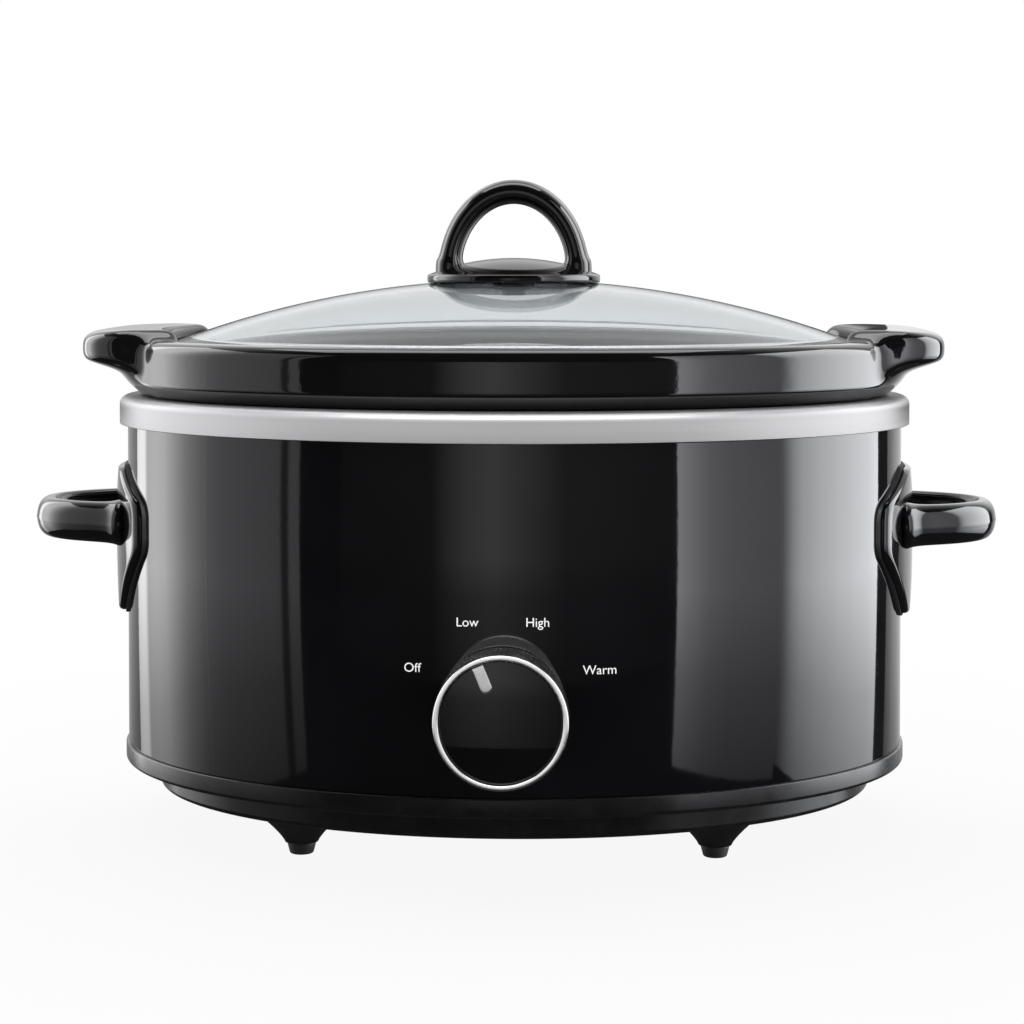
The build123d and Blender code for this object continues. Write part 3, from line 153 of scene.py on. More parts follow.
def soft_box(name, heights, distance, stops, rise, tint=(1, 1, 1), lights=dark_gloss):
    """A tall light that stands on a circle round the oval. stops are (azimuth in degrees,
    brightness) pairs from one of its edges to the other, 0 being in front and 90 at +X; its
    brightness rises with height by the rise stops, as shares of its own height. It lights only
    what is in its collection: the dark gloss pieces need far stronger lights than bare metal."""
    start, stop = stops[0][0], stops[-1][0]
    low, high = heights
    middle = math.radians((start + stop) / 2)
    half = math.radians((stop - start) / 2)
    width = 2 * distance * math.tan(half)
    place = (distance * math.sin(middle), OVAL_Y - distance * math.cos(middle), (low + high) / 2)
    light = area_light(name, width, high - low, math.pi * width * (high - low), place,
                       (math.pi / 2, 0, middle), lights)
    light.color = tint
    light.use_nodes = True
    tree = light.node_tree
    emission = tree.nodes["Emission"]
    position = add(tree, "NewGeometry")
    across = add(tree, "SeparateXYZ")
    join(tree, position.outputs["Parametric"], across.inputs[0])
    top = max(brightness for _, brightness in stops)
    spread = [(0.5 + math.tan(math.radians(azimuth) - middle) / (2 * math.tan(half)), brightness / top)
              for azimuth, brightness in stops]
    glow_across = ramp(tree, across.outputs[0], spread)
    glow_up = ramp(tree, across.outputs[1], rise)
    strength = add(tree, "Math", operation="MULTIPLY")
    scaled = add(tree, "Math", operation="MULTIPLY")
    scaled.inputs[1].default_value = top
    join(tree, glow_across, strength.inputs[0], glow_up, strength.inputs[1],
         strength.outputs[0], scaled.inputs[0], scaled.outputs[0], emission.inputs["Strength"])


FADE = [(0.0, 0.25), (0.12, 0.5), (0.24, 1.0)]
LEVEL = [(0.0, 1.0), (1.0, 1.0)]
GLOSS_HEIGHTS, GLOSS_DISTANCE = (-0.6, 1.6), 1.5
GLOW_HEIGHTS, GLOW_DISTANCE = (-0.5, 0.5), 2.0
METAL_HEIGHTS, METAL_SIDE_DISTANCE, METAL_FRONT_DISTANCE = (-0.4, 1.3), 1.4, 1.9
soft_box("right_key", GLOSS_HEIGHTS, GLOSS_DISTANCE,
         [(69, 1.0), (71, 2.2), (74, 4.6), (77, 6.2), (84, 7.5), (94, 8.0), (104, 7.6), (112, 6.8),
          (120, 6.4)], FADE, (0.95, 0.975, 1.0))
soft_box("right_fill", GLOSS_HEIGHTS, GLOSS_DISTANCE,
         [(38.5, 4.2), (42, 3.2), (47, 2.1), (53, 1.6), (60, 1.4), (69, 1.2)], FADE, (0.97, 0.95, 1.0))
soft_box("right_edge", GLOSS_HEIGHTS, GLOSS_DISTANCE, [(130, 0.5), (140, 0.9), (168, 0.9)], FADE)
soft_box("left_key", GLOSS_HEIGHTS, GLOSS_DISTANCE,
         [(-133, 3.0), (-127, 4.5), (-123, 5.0), (-120.5, 2.8), (-112, 4.0), (-106, 4.4), (-100, 3.6),
          (-93, 2.4), (-84, 1.4)], FADE)
soft_box("left_fill", GLOSS_HEIGHTS, GLOSS_DISTANCE,
         [(-84, 1.4), (-77, 1.1), (-66, 0.95), (-57, 0.85), (-56, 0.15), (-54.6, 0.15), (-53.8, 0.85),
          (-51, 0.85)], FADE, (0.97, 0.96, 1.0))
soft_box("left_edge", GLOSS_HEIGHTS, GLOSS_DISTANCE, [(-168, 0.6), (-133, 0.6)], FADE)
soft_box("front_glow", GLOW_HEIGHTS, GLOW_DISTANCE,
         [(-40, 0.03), (-18, 0.06), (-10, 0.6), (-4, 0.8), (4, 0.45), (12, 0.15), (40, 0.06)],
         [(0.0, 0.3), (0.35, 0.5), (0.5, 1.0)])
soft_box("metal_left", METAL_HEIGHTS, METAL_SIDE_DISTANCE, [(-130, 1.9), (-90, 1.2), (-50, 0.9)],
         LEVEL, lights=bare_metal)
soft_box("metal_front", METAL_HEIGHTS, METAL_FRONT_DISTANCE,
         [(-50, 0.9), (-20, 0.86), (0, 0.76), (20, 0.82), (50, 1.0)], LEVEL, lights=bare_metal)
soft_box("metal_right", METAL_HEIGHTS, METAL_SIDE_DISTANCE,
         [(50, 1.05), (80, 1.4), (100, 1.7), (130, 1.3)], LEVEL, lights=bare_metal)
area_light("overhead", width=1.6, height=0.9, energy=16, location=(-0.1, 0.3, 1.7),
           turn=(math.radians(-8), 0, 0))
area_light("metal_top", width=1.6, height=0.7, energy=14, location=(0, -0.75, 1.1),
           turn=(math.radians(35), 0, 0), lights=bare_metal)

FLOOR_HALF = 9
PAPER_WHITE = (0.9, 0.9, 0.9, 1)
FADE_START, FADE_END, NEAR_SHARE = 0.15, 0.5, 0.92
floor = bpy.data.objects.new("floor", bpy.data.meshes.new("floor"))
scene.collection.objects.link(floor)
floor.data.from_pydata([(-FLOOR_HALF, -FLOOR_HALF, 0), (FLOOR_HALF, -FLOOR_HALF, 0),
                        (FLOOR_HALF, FLOOR_HALF, 0), (-FLOOR_HALF, FLOOR_HALF, 0)], [], [(0, 1, 2, 3)])
floor.visible_glossy = False
paper = bpy.data.materials.new("floor_paper")
paper.use_nodes = True
floor.data.materials.append(paper)
tree = paper.node_tree
matt = tree.nodes["Principled BSDF"]
matt.inputs["Base Color"].default_value = PAPER_WHITE
matt.inputs["Roughness"].default_value = 1.0
bright = add(tree, "Emission", Strength=1.0)
where = add(tree, "TexCoord")
reach = add(tree, "VectorMath", operation="LENGTH")
far = add(tree, "MapRange", interpolation_type="SMOOTHSTEP", From_Min=FADE_START, From_Max=FADE_END,
          To_Min=NEAR_SHARE)
both = add(tree, "MixShader")
join(tree, where.outputs["Object"], reach.inputs[0], reach.outputs["Value"], far.inputs[0],
     far.outputs[0], both.inputs[0], matt.outputs[0], both.inputs[1], bright.outputs[0], both.inputs[2],
     both.outputs[0], tree.nodes["Material Output"].inputs[0])

# ---------------------------------------------------------------- outer shell
# A drawn steel wall, 0.8 mm thick, bent to the oval and seam-welded behind, sprayed with gloss
# black enamel. It stands in the base pan's groove and carries the handles and the switch.
HALF_LENGTH = (shell_high.x - shell_low.x) / 2 / MM
HALF_DEPTH = (shell_high.y - shell_low.y) / 2 / MM
SHELL_WALL, SHELL_BOTTOM, SHELL_TOP, SHELL_ROUND = 0.8, 31.0, 160.5, 0.3
ENAMEL = (0.0035, 0.0034, 0.0042)
ENAMEL_ROUGHNESS = 0.045
PEEL_SIZE = 420.0
PEEL_DEPTH = 0.000004


def rounded(corners, steps=5, closed=False):
    """A run of straight lines through (across, up, radius) corners, where each corner with a
    radius becomes an arc that touches both lines; the arc's points are its centre plus the
    radius times directions that turn evenly from one touching point to the other."""
    rows = []
    count = len(corners)
    for i, (x, z, radius) in enumerate(corners):
        here = np.array([x, z], float)
        if radius == 0 or (not closed and i in (0, count - 1)):
            rows.append(here[None])
            continue
        back = np.array(corners[i - 1][:2], float) - here
        ahead = np.array(corners[(i + 1) % count][:2], float) - here
        back, ahead = back / np.linalg.norm(back), ahead / np.linalg.norm(ahead)
        half_angle = math.acos(np.clip(back @ ahead, -1, 1)) / 2
        centre = here + (back + ahead) / np.linalg.norm(back + ahead) * radius / math.sin(half_angle)
        start = here + back * radius / math.tan(half_angle) - centre
        stop = here + ahead * radius / math.tan(half_angle) - centre
        turn = math.pi - 2 * half_angle
        share = np.linspace(0, 1, steps + 1)[:, None]
        swing = np.sin((1 - share) * turn) * start + np.sin(share * turn) * stop
        rows.append(centre + swing / math.sin(turn))
    return np.concatenate(rows)


def surface(name, *grids, ring=False):
    """A smooth mesh over grids of points in metres, each a closed shape of its own. A grid's
    second direction goes round and meets itself, and its first does too when ring is true.
    Points that fall together, as at a pole, become one, and four-sided faces that lose a side
    become triangles."""
    points, polygons, count = [], [], 0
    for grid in grids:
        rows, columns = grid.shape[:2]
        i = np.arange(rows if ring else rows - 1)[:, None]
        j = np.arange(columns)[None]
        down, right = (i + 1) % rows, (j + 1) % columns
        corners = [i * columns + j, i * columns + right, down * columns + right, down * columns + j]
        faces = np.stack(corners, -1).reshape(-1, 4)
        own, index = np.unique(np.round(grid.reshape(-1, 3), 8), axis=0, return_inverse=True)
        faces = count + index.reshape(-1)[faces]
        faces = faces[(faces[:, 0] != faces[:, 3]) | (faces[:, 1] != faces[:, 2])]
        first, last = faces[:, 0] == faces[:, 1], faces[:, 2] == faces[:, 3]
        triangles = np.concatenate([faces[first & ~last][:, 1:], faces[last & ~first][:, :3]])
        points += own.tolist()
        polygons += faces[~first & ~last].tolist() + triangles.tolist()
        count += len(own)
    mesh = bpy.data.meshes.new(name)
    mesh.from_pydata(points, [], polygons)
    mesh.shade_smooth()
    piece = bpy.data.objects.new(name, mesh)
    scene.collection.objects.link(piece)
    return piece


def oval_axes(profile):
    """(offset, height) rows as (half-length, half-depth, height) rows, where the half-axes are the
    shell's plus the offset, in millimetres."""
    offset, z = np.asarray(profile, float).T
    return np.stack([HALF_LENGTH + offset, HALF_DEPTH + offset, z], -1)


def rings(axes, around=384):
    """Elliptical rings about the oval's centre from (half-length, half-depth, height) rows; a row
    with both halves zero is a pole."""
    length, depth, z = np.asarray(axes, float).T[:, :, None]
    angle = np.arange(around) / around * 2 * math.pi
    return np.stack([length * np.cos(angle), depth * np.sin(angle) + OVAL_Y / MM, z + 0 * angle], -1) * MM


def finish(name, colour, roughness, metallic=0.0, grain=900.0, vary=0.12, bump=0.00001, stretch=(1, 1, 1),
           rough_vary=0.25, specular=0.5):
    """A material whose colour, gloss and grain all wander with noise in the piece's own
    coordinates: colour by plus or minus vary, roughness by rough_vary of itself, and a grain of
    this many waves a metre and this depth in metres."""
    material = bpy.data.materials.new(name)
    material.use_nodes = True
    tree = material.node_tree
    shader = tree.nodes["Principled BSDF"]
    place = add(tree, "TexCoord")
    mapping = add(tree, "Mapping")
    mapping.inputs["Scale"].default_value = stretch
    cloud = add(tree, "TexNoise", Scale=grain / 12, Detail=4.0)
    fine = add(tree, "TexNoise", Scale=grain, Detail=3.0)
    join(tree, place.outputs["Object"], mapping.inputs[0], mapping.outputs[0], cloud.inputs["Vector"],
         mapping.outputs[0], fine.inputs["Vector"])
    low = [max(c * (1 - vary), 0) for c in colour]
    high = [min(c * (1 + vary), 1) for c in colour]
    shade = ramp(tree, cloud.outputs[0], [(0.3, low), (0.7, high)])
    gloss = add(tree, "MapRange")
    for key, value in (("From Min", 0.3), ("From Max", 0.7), ("To Min", roughness * (1 - rough_vary)),
                       ("To Max", min(roughness * (1 + rough_vary), 1))):
        gloss.inputs[key].default_value = value
    relief = add(tree, "Bump")
    relief.inputs["Distance"].default_value = bump
    join(tree, shade, shader.inputs["Base Color"], cloud.outputs[0], gloss.inputs[0],
         gloss.outputs[0], shader.inputs["Roughness"], fine.outputs[0], relief.inputs["Height"],
         relief.outputs[0], shader.inputs["Normal"])
    shader.inputs["Metallic"].default_value = metallic
    shader.inputs["Specular IOR Level"].default_value = specular
    return material


shell_profile = rounded([(0, SHELL_BOTTOM, SHELL_ROUND), (0, SHELL_TOP, SHELL_ROUND),
                         (-SHELL_WALL, SHELL_TOP, SHELL_ROUND), (-SHELL_WALL, SHELL_BOTTOM, SHELL_ROUND)],
                        steps=3, closed=True)
shell = surface("enamelled_shell", rings(oval_axes(shell_profile)), ring=True)
enamel = finish("black_enamel", ENAMEL, ENAMEL_ROUGHNESS, grain=PEEL_SIZE, bump=PEEL_DEPTH, vary=0.2)
shell.data.materials.append(enamel)
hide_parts("outer_shell")
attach(shell, "base_unit")
dark_gloss.objects.link(shell)

# ---------------------------------------------------------------- setting names
# The four settings, screen-printed in white on the enamel round the knob: thin ink that follows
# the oval. Each word stands upright, and its middle is placed about the knob's axis.
ring_low, ring_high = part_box("knob_ring")
KNOB_X = (ring_low.x + ring_high.x) / 2
KNOB_Z = (ring_low.z + ring_high.z) / 2
INK_HEIGHT = 0.0044
INK_THICKNESS = 0.00003
INK_STANDOFF = INK_THICKNESS * 0.6
SETTINGS = {"Off": (-30.7, 14.5), "Low": (-12.0, 30.3), "High": (11.8, 30.3), "Warm": (32.8, 14.0)}
ink = finish("white_ink", (0.83, 0.83, 0.83), 0.45, grain=3000.0, vary=0.06, bump=0.000004)
for word, (across, up) in SETTINGS.items():
    lettering = bpy.data.curves.new(f"word_{word}", "FONT")
    lettering.body = word
    lettering.size = INK_HEIGHT
    lettering.align_x = "CENTER"
    lettering.align_y = "CENTER"
    lettering.extrude = INK_THICKNESS
    written = bpy.data.objects.new(f"word_{word}", lettering)
    scene.collection.objects.link(written)
    bpy.context.view_layer.update()
    mesh = bpy.data.meshes.new_from_object(written.evaluated_get(bpy.context.evaluated_depsgraph_get()))
    bpy.data.objects.remove(written)
    co = np.zeros(len(mesh.vertices) * 3)
    mesh.vertices.foreach_get("co", co)
    x, up_letter, out = co.reshape(-1, 3).T
    x = x + KNOB_X + across * MM
    a, b = HALF_LENGTH * MM, HALF_DEPTH * MM
    y = OVAL_Y - b * np.sqrt(1 - (x / a) ** 2) - out - INK_STANDOFF
    placed = np.stack([x, y, up_letter + KNOB_Z + up * MM], -1)
    mesh.vertices.foreach_set("co", placed.ravel())
    weld = bmesh.new()
    weld.from_mesh(mesh)
    bmesh.ops.remove_doubles(weld, verts=weld.verts, dist=INK_THICKNESS / 20)
    weld.to_mesh(mesh)
    weld.free()
    mesh.name = f"setting_{word}"
    label = bpy.data.objects.new(f"setting_{word}", mesh)
    scene.collection.objects.link(label)
    label.data.materials.clear()
    label.data.materials.append(ink)
    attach(label, "base_unit")
    bare_metal.objects.link(label)

# ---------------------------------------------------------------- base pan
# A moulded satin-black pan: an upper band the shell stands on, a smaller tier under it, a hollow
# in the middle for the centre nut, and four tapering bosses that hold the rubber feet.
FOOT_X, FOOT_Y = 74.0, 63.97
FEET = [(x, y) for x in (-FOOT_X, FOOT_X) for y in (-FOOT_Y, FOOT_Y)]
BOSS_TIP, BOSS_ROOT, BOSS_BOTTOM, BOSS_TOP = 6.0, 15.0, 4.3, 14.2
BASE_BLACK = (0.0065, 0.0065, 0.007)


def round_axes(profile):
    """(radius, height) rows as (half-length, half-depth, height) rows."""
    radius, z = np.asarray(profile, float).T
    return np.stack([radius, radius, z], -1)


def turned_rings(profile, x, y, around):
    """Rings of a turned shape: each row is (radius, height) in millimetres about an upright axis
    that stands x across and y behind the oval's centre."""
    radius, z = np.asarray(profile, float).T[:, :, None]
    angle = np.arange(around) / around * 2 * math.pi
    return np.stack([x + radius * np.cos(angle), y + OVAL_Y / MM + radius * np.sin(angle),
                     z + 0 * angle], -1) * MM


outside = rounded([(-40, 14, 0), (-12, 14, 2.0), (-12, 24.2, 0.6), (1, 24, 1.6), (1, 31, 0.7), (-1.1, 31, 0)])
inside = rounded([(-1.1, 31, 0), (-1.1, 37, 0.4), (-3.6, 37, 0.4), (-3.6, 26.5, 0.4), (-14.5, 26.5, 0.4),
                  (-14.5, 16.5, 0.8), (-40, 16.5, 0)])
pan_rows = np.concatenate([round_axes([(0, 19), (11.7, 19), (12, 18.7), (12, 14.3), (12.3, 14)]),
                           oval_axes(outside), oval_axes(inside),
                           round_axes([(14.5, 16.5), (14.5, 21.2), (14.2, 21.5), (0, 21.5)])])
rise = np.linspace(0, 1, 14)
boss_side = np.stack([BOSS_TIP + (BOSS_ROOT - BOSS_TIP) * rise ** 1.25,
                      BOSS_BOTTOM + (BOSS_TOP - BOSS_BOTTOM) * rise], -1)
boss_profile = np.concatenate([[(0, BOSS_BOTTOM), (BOSS_TIP - 0.5, BOSS_BOTTOM)], boss_side,
                               [(0, BOSS_TOP + 1)]])
base = surface("base_moulding", rings(pan_rows), *[turned_rings(boss_profile, x, y, 64) for x, y in FEET])
satin = finish("satin_moulding", BASE_BLACK, 0.24, grain=1500.0, bump=0.000012, vary=0.2, specular=0.3)
base.data.materials.append(satin)
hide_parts("base_pan")
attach(base, "base_unit")
dark_gloss.objects.link(base)

# ---------------------------------------------------------------- rubber feet
# Four push-in rubber feet. Only the tapering nub shows under each boss; its stem and barb are
# inside the pan.
NUB_HEIGHT, NUB_TOP, NUB_BOTTOM = 4.2, 5.3, 4.2
nub_profile = rounded([(0, 0, 0), (NUB_BOTTOM, 0, 0.8), (NUB_TOP, NUB_HEIGHT, 0.4), (0, NUB_HEIGHT, 0)])
feet = surface("rubber_nubs", *[turned_rings(nub_profile, x, y, 48) for x, y in FEET])
rubber = finish("foot_rubber", (0.012, 0.012, 0.012), 0.62, grain=2500.0, bump=0.00003)
feet.data.materials.append(rubber)
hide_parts("rubber_feet")
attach(feet, "base_unit")
dark_gloss.objects.link(feet)

# ---------------------------------------------------------------- heating well
# One deep-drawn sheet of aluminium, brushed round and round: a bowl for the crock, whose rim
# turns over the shell's top edge and hangs down as the bright band.
WELL_SHEET = 0.8
WELL_TOP, SKIRT_BOTTOM, SKIRT_OFFSET = 161.5, 151.0, 3.0
SKIRT_INSIDE = SKIRT_OFFSET - WELL_SHEET
well_walls = rounded([(-40, 45.2, 0), (-32, 45.2, 2), (-26, 50.2, 4), (-9.1, 160.7, 1.5),
                      (SKIRT_INSIDE, 160.7, 2.4), (SKIRT_INSIDE, SKIRT_BOTTOM, 0.3),
                      (SKIRT_OFFSET, SKIRT_BOTTOM, 0.3), (SKIRT_OFFSET, WELL_TOP, 3.2),
                      (-9.8, WELL_TOP, 2.3), (-26.8, 50.5, 3.2), (-32.3, 46, 1.2), (-40, 46, 0)], steps=7)
well_rows = np.concatenate([[(0, 0, 45.2)], oval_axes(well_walls), [(0, 0, 46.0)]])
well = surface("aluminium_well", rings(well_rows))
aluminium = finish("brushed_aluminium", (0.56, 0.56, 0.57), 0.42, metallic=1.0, grain=260.0, vary=0.10,
                   bump=0.000012, stretch=(0.05, 0.05, 9.0), rough_vary=0.2)
well.data.materials.append(aluminium)
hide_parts("heating_well")
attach(well, "base_unit")
bare_metal.objects.link(well)

# ---------------------------------------------------------------- side handles
# Two gloss black mouldings. Each is a finger loop with a full round nose and a parting line at
# mid-height, standing on an escutcheon that hugs the shell over a thin gasket.
HANDLE_Z = 114.5
LOOP_CENTRE_X, LOOP_HALF_X, LOOP_HALF_Y = 138.5, 44.8, 34.0
BAR_WIDTH, BAR_HEIGHT = 10.0, 15.0
FLARE, FLARE_LENGTH = 1.2, 3.0
ROOT_SPREAD = 4.0
PLATE_TOP, PLATE_BOTTOM, PLATE_WIDE, PLATE_NARROW, PLATE_ROUND = 20.5, -34.0, 48.0, 22.0, 9.0
PLATE_BACK, PLATE_FRONT, PLATE_CROWN = 1.0, 3.6, 0.9
SEAM = 0.18


def handle_loop(side):
    """The loop's centre line is half an ellipse in plan, and its section is a superellipse of
    power 2.1, wider upright than across, that swells near the escutcheon by an exponential of
    the distance to it, most of all outward; a thin ridge runs round it at mid-height."""
    along = np.linspace(-1, 1, 97)[:, None] * math.radians(83)
    section = np.arange(48)[None] / 48 * 2 * math.pi
    half_x, half_y = LOOP_HALF_X - BAR_WIDTH / 2, LOOP_HALF_Y - BAR_WIDTH / 2
    x, y = LOOP_CENTRE_X + half_x * np.cos(along), half_y * np.sin(along)
    out_x, out_y = half_y * np.cos(along), half_x * np.sin(along)
    length = np.hypot(out_x, out_y)
    plate_x = (HALF_LENGTH + PLATE_FRONT) * np.sqrt(np.clip(1 - (y / (HALF_DEPTH + PLATE_FRONT)) ** 2, 0, 1))
    near = np.exp(-np.clip(x - plate_x, 0, None) / FLARE_LENGTH)
    swell = FLARE * near
    c, s = np.cos(section), np.sin(section)
    power = 2 / 2.1
    spread = np.where(c > 0, ROOT_SPREAD * near, swell * 0.5)
    across = np.sign(c) * np.abs(c) ** power * (BAR_WIDTH / 2 + spread)
    up = np.sign(s) * np.abs(s) ** power * (BAR_HEIGHT / 2 + swell)
    across = across + np.sign(c) * SEAM * np.exp(-(up / 0.45) ** 2)
    grid = np.stack([side * (x + out_x / length * across), y + out_y / length * across + OVAL_Y / MM,
                     HANDLE_Z + up + 0 * x], -1)
    ends = [np.broadcast_to(grid[i].mean(0), grid[i].shape)[None] for i in (0, -1)]
    grid = np.concatenate([ends[0], grid, ends[1]])
    return (grid if side > 0 else grid[::-1])[:, ::-1] * MM


def escutcheon(side):
    """The plate is a rounded eight-sided outline wrapped on the oval. Rows run from the middle of
    its crowned face out to the edge, over a round, and back to the middle of its rear face."""
    corners = [(PLATE_NARROW, PLATE_TOP), (PLATE_WIDE, 9), (PLATE_WIDE, -9), (PLATE_NARROW, PLATE_BOTTOM),
               (-PLATE_NARROW, PLATE_BOTTOM), (-PLATE_WIDE, -9), (-PLATE_WIDE, 9), (-PLATE_NARROW, PLATE_TOP)]
    radii = [16, 9, 9, PLATE_ROUND, PLATE_ROUND, 9, 9, 16]
    outline = rounded([(y, z, r) for (y, z), r in zip(corners, radii)], steps=8, closed=True)
    step = np.linalg.norm(np.roll(outline, -1, 0) - outline, axis=1)
    reach = np.concatenate([[0], np.cumsum(step)])
    even = np.linspace(0, reach[-1], 160, endpoint=False)
    loop = np.stack([np.interp(even, reach, np.append(outline[:, k], outline[0, k])) for k in (0, 1)], -1)
    thick = PLATE_FRONT - PLATE_BACK
    bend = np.linspace(0, math.pi / 2, 7)
    share = np.concatenate([np.linspace(0, 0.955, 8), 0.955 + 0.045 * np.sin(bend)[1:], [1, 0.97, 0.5, 0]])
    offset = np.concatenate([PLATE_FRONT + PLATE_CROWN * (1 - np.linspace(0, 1, 8) ** 2),
                             PLATE_BACK + 0.25 * thick + 0.75 * thick * np.cos(bend)[1:],
                             [PLATE_BACK] * 4])
    y, z = share[:, None] * loop[None, :, 0], share[:, None] * loop[None, :, 1] + HANDLE_Z
    x = (HALF_LENGTH + offset[:, None]) * np.sqrt(1 - (y / (HALF_DEPTH + offset[:, None])) ** 2)
    grid = np.stack([side * x, y + OVAL_Y / MM, z], -1) * MM
    return grid if side > 0 else grid[:, ::-1]


gloss = finish("gloss_moulding", (0.004, 0.004, 0.0045), 0.07, grain=700.0, bump=0.000004, vary=0.2)
for side, node in ((1, "handle_right"), (-1, "handle_left")):
    handle = surface(f"{node}_moulding", handle_loop(side), escutcheon(side))
    handle.data.materials.append(gloss)
    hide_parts(node)
    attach(handle, "base_unit")
    dark_gloss.objects.link(handle)

# ---------------------------------------------------------------- knob
# A plated ring with fine ribs round its side and a bright bevelled front, a gloss black face
# sunk into it, and a satin silver pointer glued to the face.
KNOB_RADIUS, KNOB_BACK, KNOB_FRONT = 22.6, 0.9, 19.8
RING_WALL = 2.0
FACE_FRONT = 18.2
RIBS = 88
RIB_DEPTH = 0.5
POINTER_ANGLE = math.radians(-22.5)
POINTER_WIDTH, POINTER_LENGTH, POINTER_HEIGHT = 4.0, 9.6, 0.7
KNOB_Y = OVAL_Y / MM - HALF_DEPTH


def knob_place(x, up, depth):
    """Points in the knob's own plane, turned to the rest angle and set on its axis; depth counts
    forward from the shell's foremost line."""
    turn_x = x * math.cos(POINTER_ANGLE) + up * math.sin(POINTER_ANGLE)
    turn_up = -x * math.sin(POINTER_ANGLE) + up * math.cos(POINTER_ANGLE)
    return np.stack([KNOB_X / MM + turn_x, KNOB_Y - depth + 0 * turn_x, KNOB_Z / MM + turn_up], -1) * MM


def knob_rings(profile, around, rib=None):
    """Rings about the knob's axis from (radius, depth) rows; the ribs are a row of half-round
    ridges, the radius falling between them by the rib depth times one minus a sine arch."""
    radius, depth = np.asarray(profile, float).T[:, :, None]
    angle = -np.arange(around)[None] / around * 2 * math.pi
    if rib is not None:
        arch = np.abs(np.sin(angle * RIBS / 2))
        radius = radius - RIB_DEPTH * (1 - arch) * np.asarray(rib)[:, None]
    return knob_place(radius * np.sin(angle), radius * np.cos(angle), depth)


bead = np.linspace(0, 1, 15)
skirt_radius = np.concatenate([[KNOB_RADIUS - RING_WALL, KNOB_RADIUS - 0.9],
                               KNOB_RADIUS - 0.35 + 0.35 * np.sin(bead * math.pi) ** 0.5,
                               KNOB_RADIUS - np.array([0.35, 0.12, 0.06, 0.16, 0.34, 0.55, 1.5, 1.78, 1.95,
                                                       RING_WALL, RING_WALL])])
skirt_depth = np.concatenate([[KNOB_BACK, KNOB_BACK], 1.3 + bead * 15.2,
                              [17.0, 17.3, 19.1, 19.5, 19.72, KNOB_FRONT, KNOB_FRONT, 19.72, 19.5, 19.2, 10]])
skirt_rib = np.concatenate([[0, 0], np.sin(bead * math.pi) ** 0.35, np.zeros(11)])
skirt_rings = knob_rings(np.stack([skirt_radius, skirt_depth], -1), RIBS * 8, skirt_rib)
ring_piece = surface("plated_ring", skirt_rings, ring=True)
chrome = finish("bright_plate", (0.93, 0.93, 0.935), 0.24, metallic=1.0, grain=1200.0, vary=0.03,
                bump=0.000002)
ring_piece.data.materials.append(chrome)
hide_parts("knob_ring")
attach(ring_piece, "control_knob")
bare_metal.objects.link(ring_piece)

face_radius = KNOB_RADIUS - RING_WALL - 0.1
face_profile = rounded([(0, 15.6, 0), (face_radius, 15.6, 0.3), (face_radius, FACE_FRONT, 0.4),
                        (0, FACE_FRONT, 0)], steps=4)
face = surface("knob_face_disc", knob_rings(face_profile, 192))
piano = finish("knob_gloss", (0.0035, 0.0035, 0.004), 0.035, grain=500.0, bump=0.000003, vary=0.2)
face.data.materials.append(piano)
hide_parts("knob_face")
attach(face, "control_knob")
dark_gloss.objects.link(face)


def pointer_grid():
    """The pointer is a bar with a round inner end and a square outer one. Rows run from the
    middle of its top to its edge, over a small round, down its side and back to the middle
    underneath."""
    outer = face_radius - 0.25
    half = POINTER_WIDTH / 2
    inner_end, outer_end = outer - POINTER_LENGTH, outer - 0.1
    corners = [(-half, inner_end, half - 0.01), (-half, outer_end, 0.3), (half, outer_end, 0.3),
               (half, inner_end, half - 0.01)]
    outline = rounded(corners, steps=12, closed=True)
    middle = np.array([0, outer - POINTER_LENGTH / 2])
    share = np.array([0, 0.5, 0.86, 0.94, 0.985, 1, 1, 0.5, 0])
    lift = np.array([1, 1, 1, 0.96, 0.82, 0.6, 0, 0, 0]) * POINTER_HEIGHT + FACE_FRONT
    flat = middle + share[:, None, None] * (outline[None] - middle)
    return knob_place(flat[..., 0], flat[..., 1], lift[:, None] + 0 * flat[..., 0])


pointer = surface("silver_pointer", pointer_grid())
silver = finish("satin_silver", (0.72, 0.72, 0.73), 0.3, metallic=1.0, grain=2000.0, vary=0.05,
                bump=0.000004)
pointer.data.materials.append(silver)
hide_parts("knob_pointer")
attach(pointer, "control_knob")
bare_metal.objects.link(pointer)

# ---------------------------------------------------------------- crock
# Slip-cast stoneware dipped in a gloss black glaze: a tapering oval pot with a heavy rim that
# sits on the well, a ledge for the lid inside the rim, and a lug at each end to lift it by.
EAR_TIP, EAR_HALF_WIDTH, EAR_CORNER = 160.3, 45.0, 20.0
EAR_BLEND = 2.0
OUTER_FLOOR, INNER_FLOOR = 50.0, 57.5
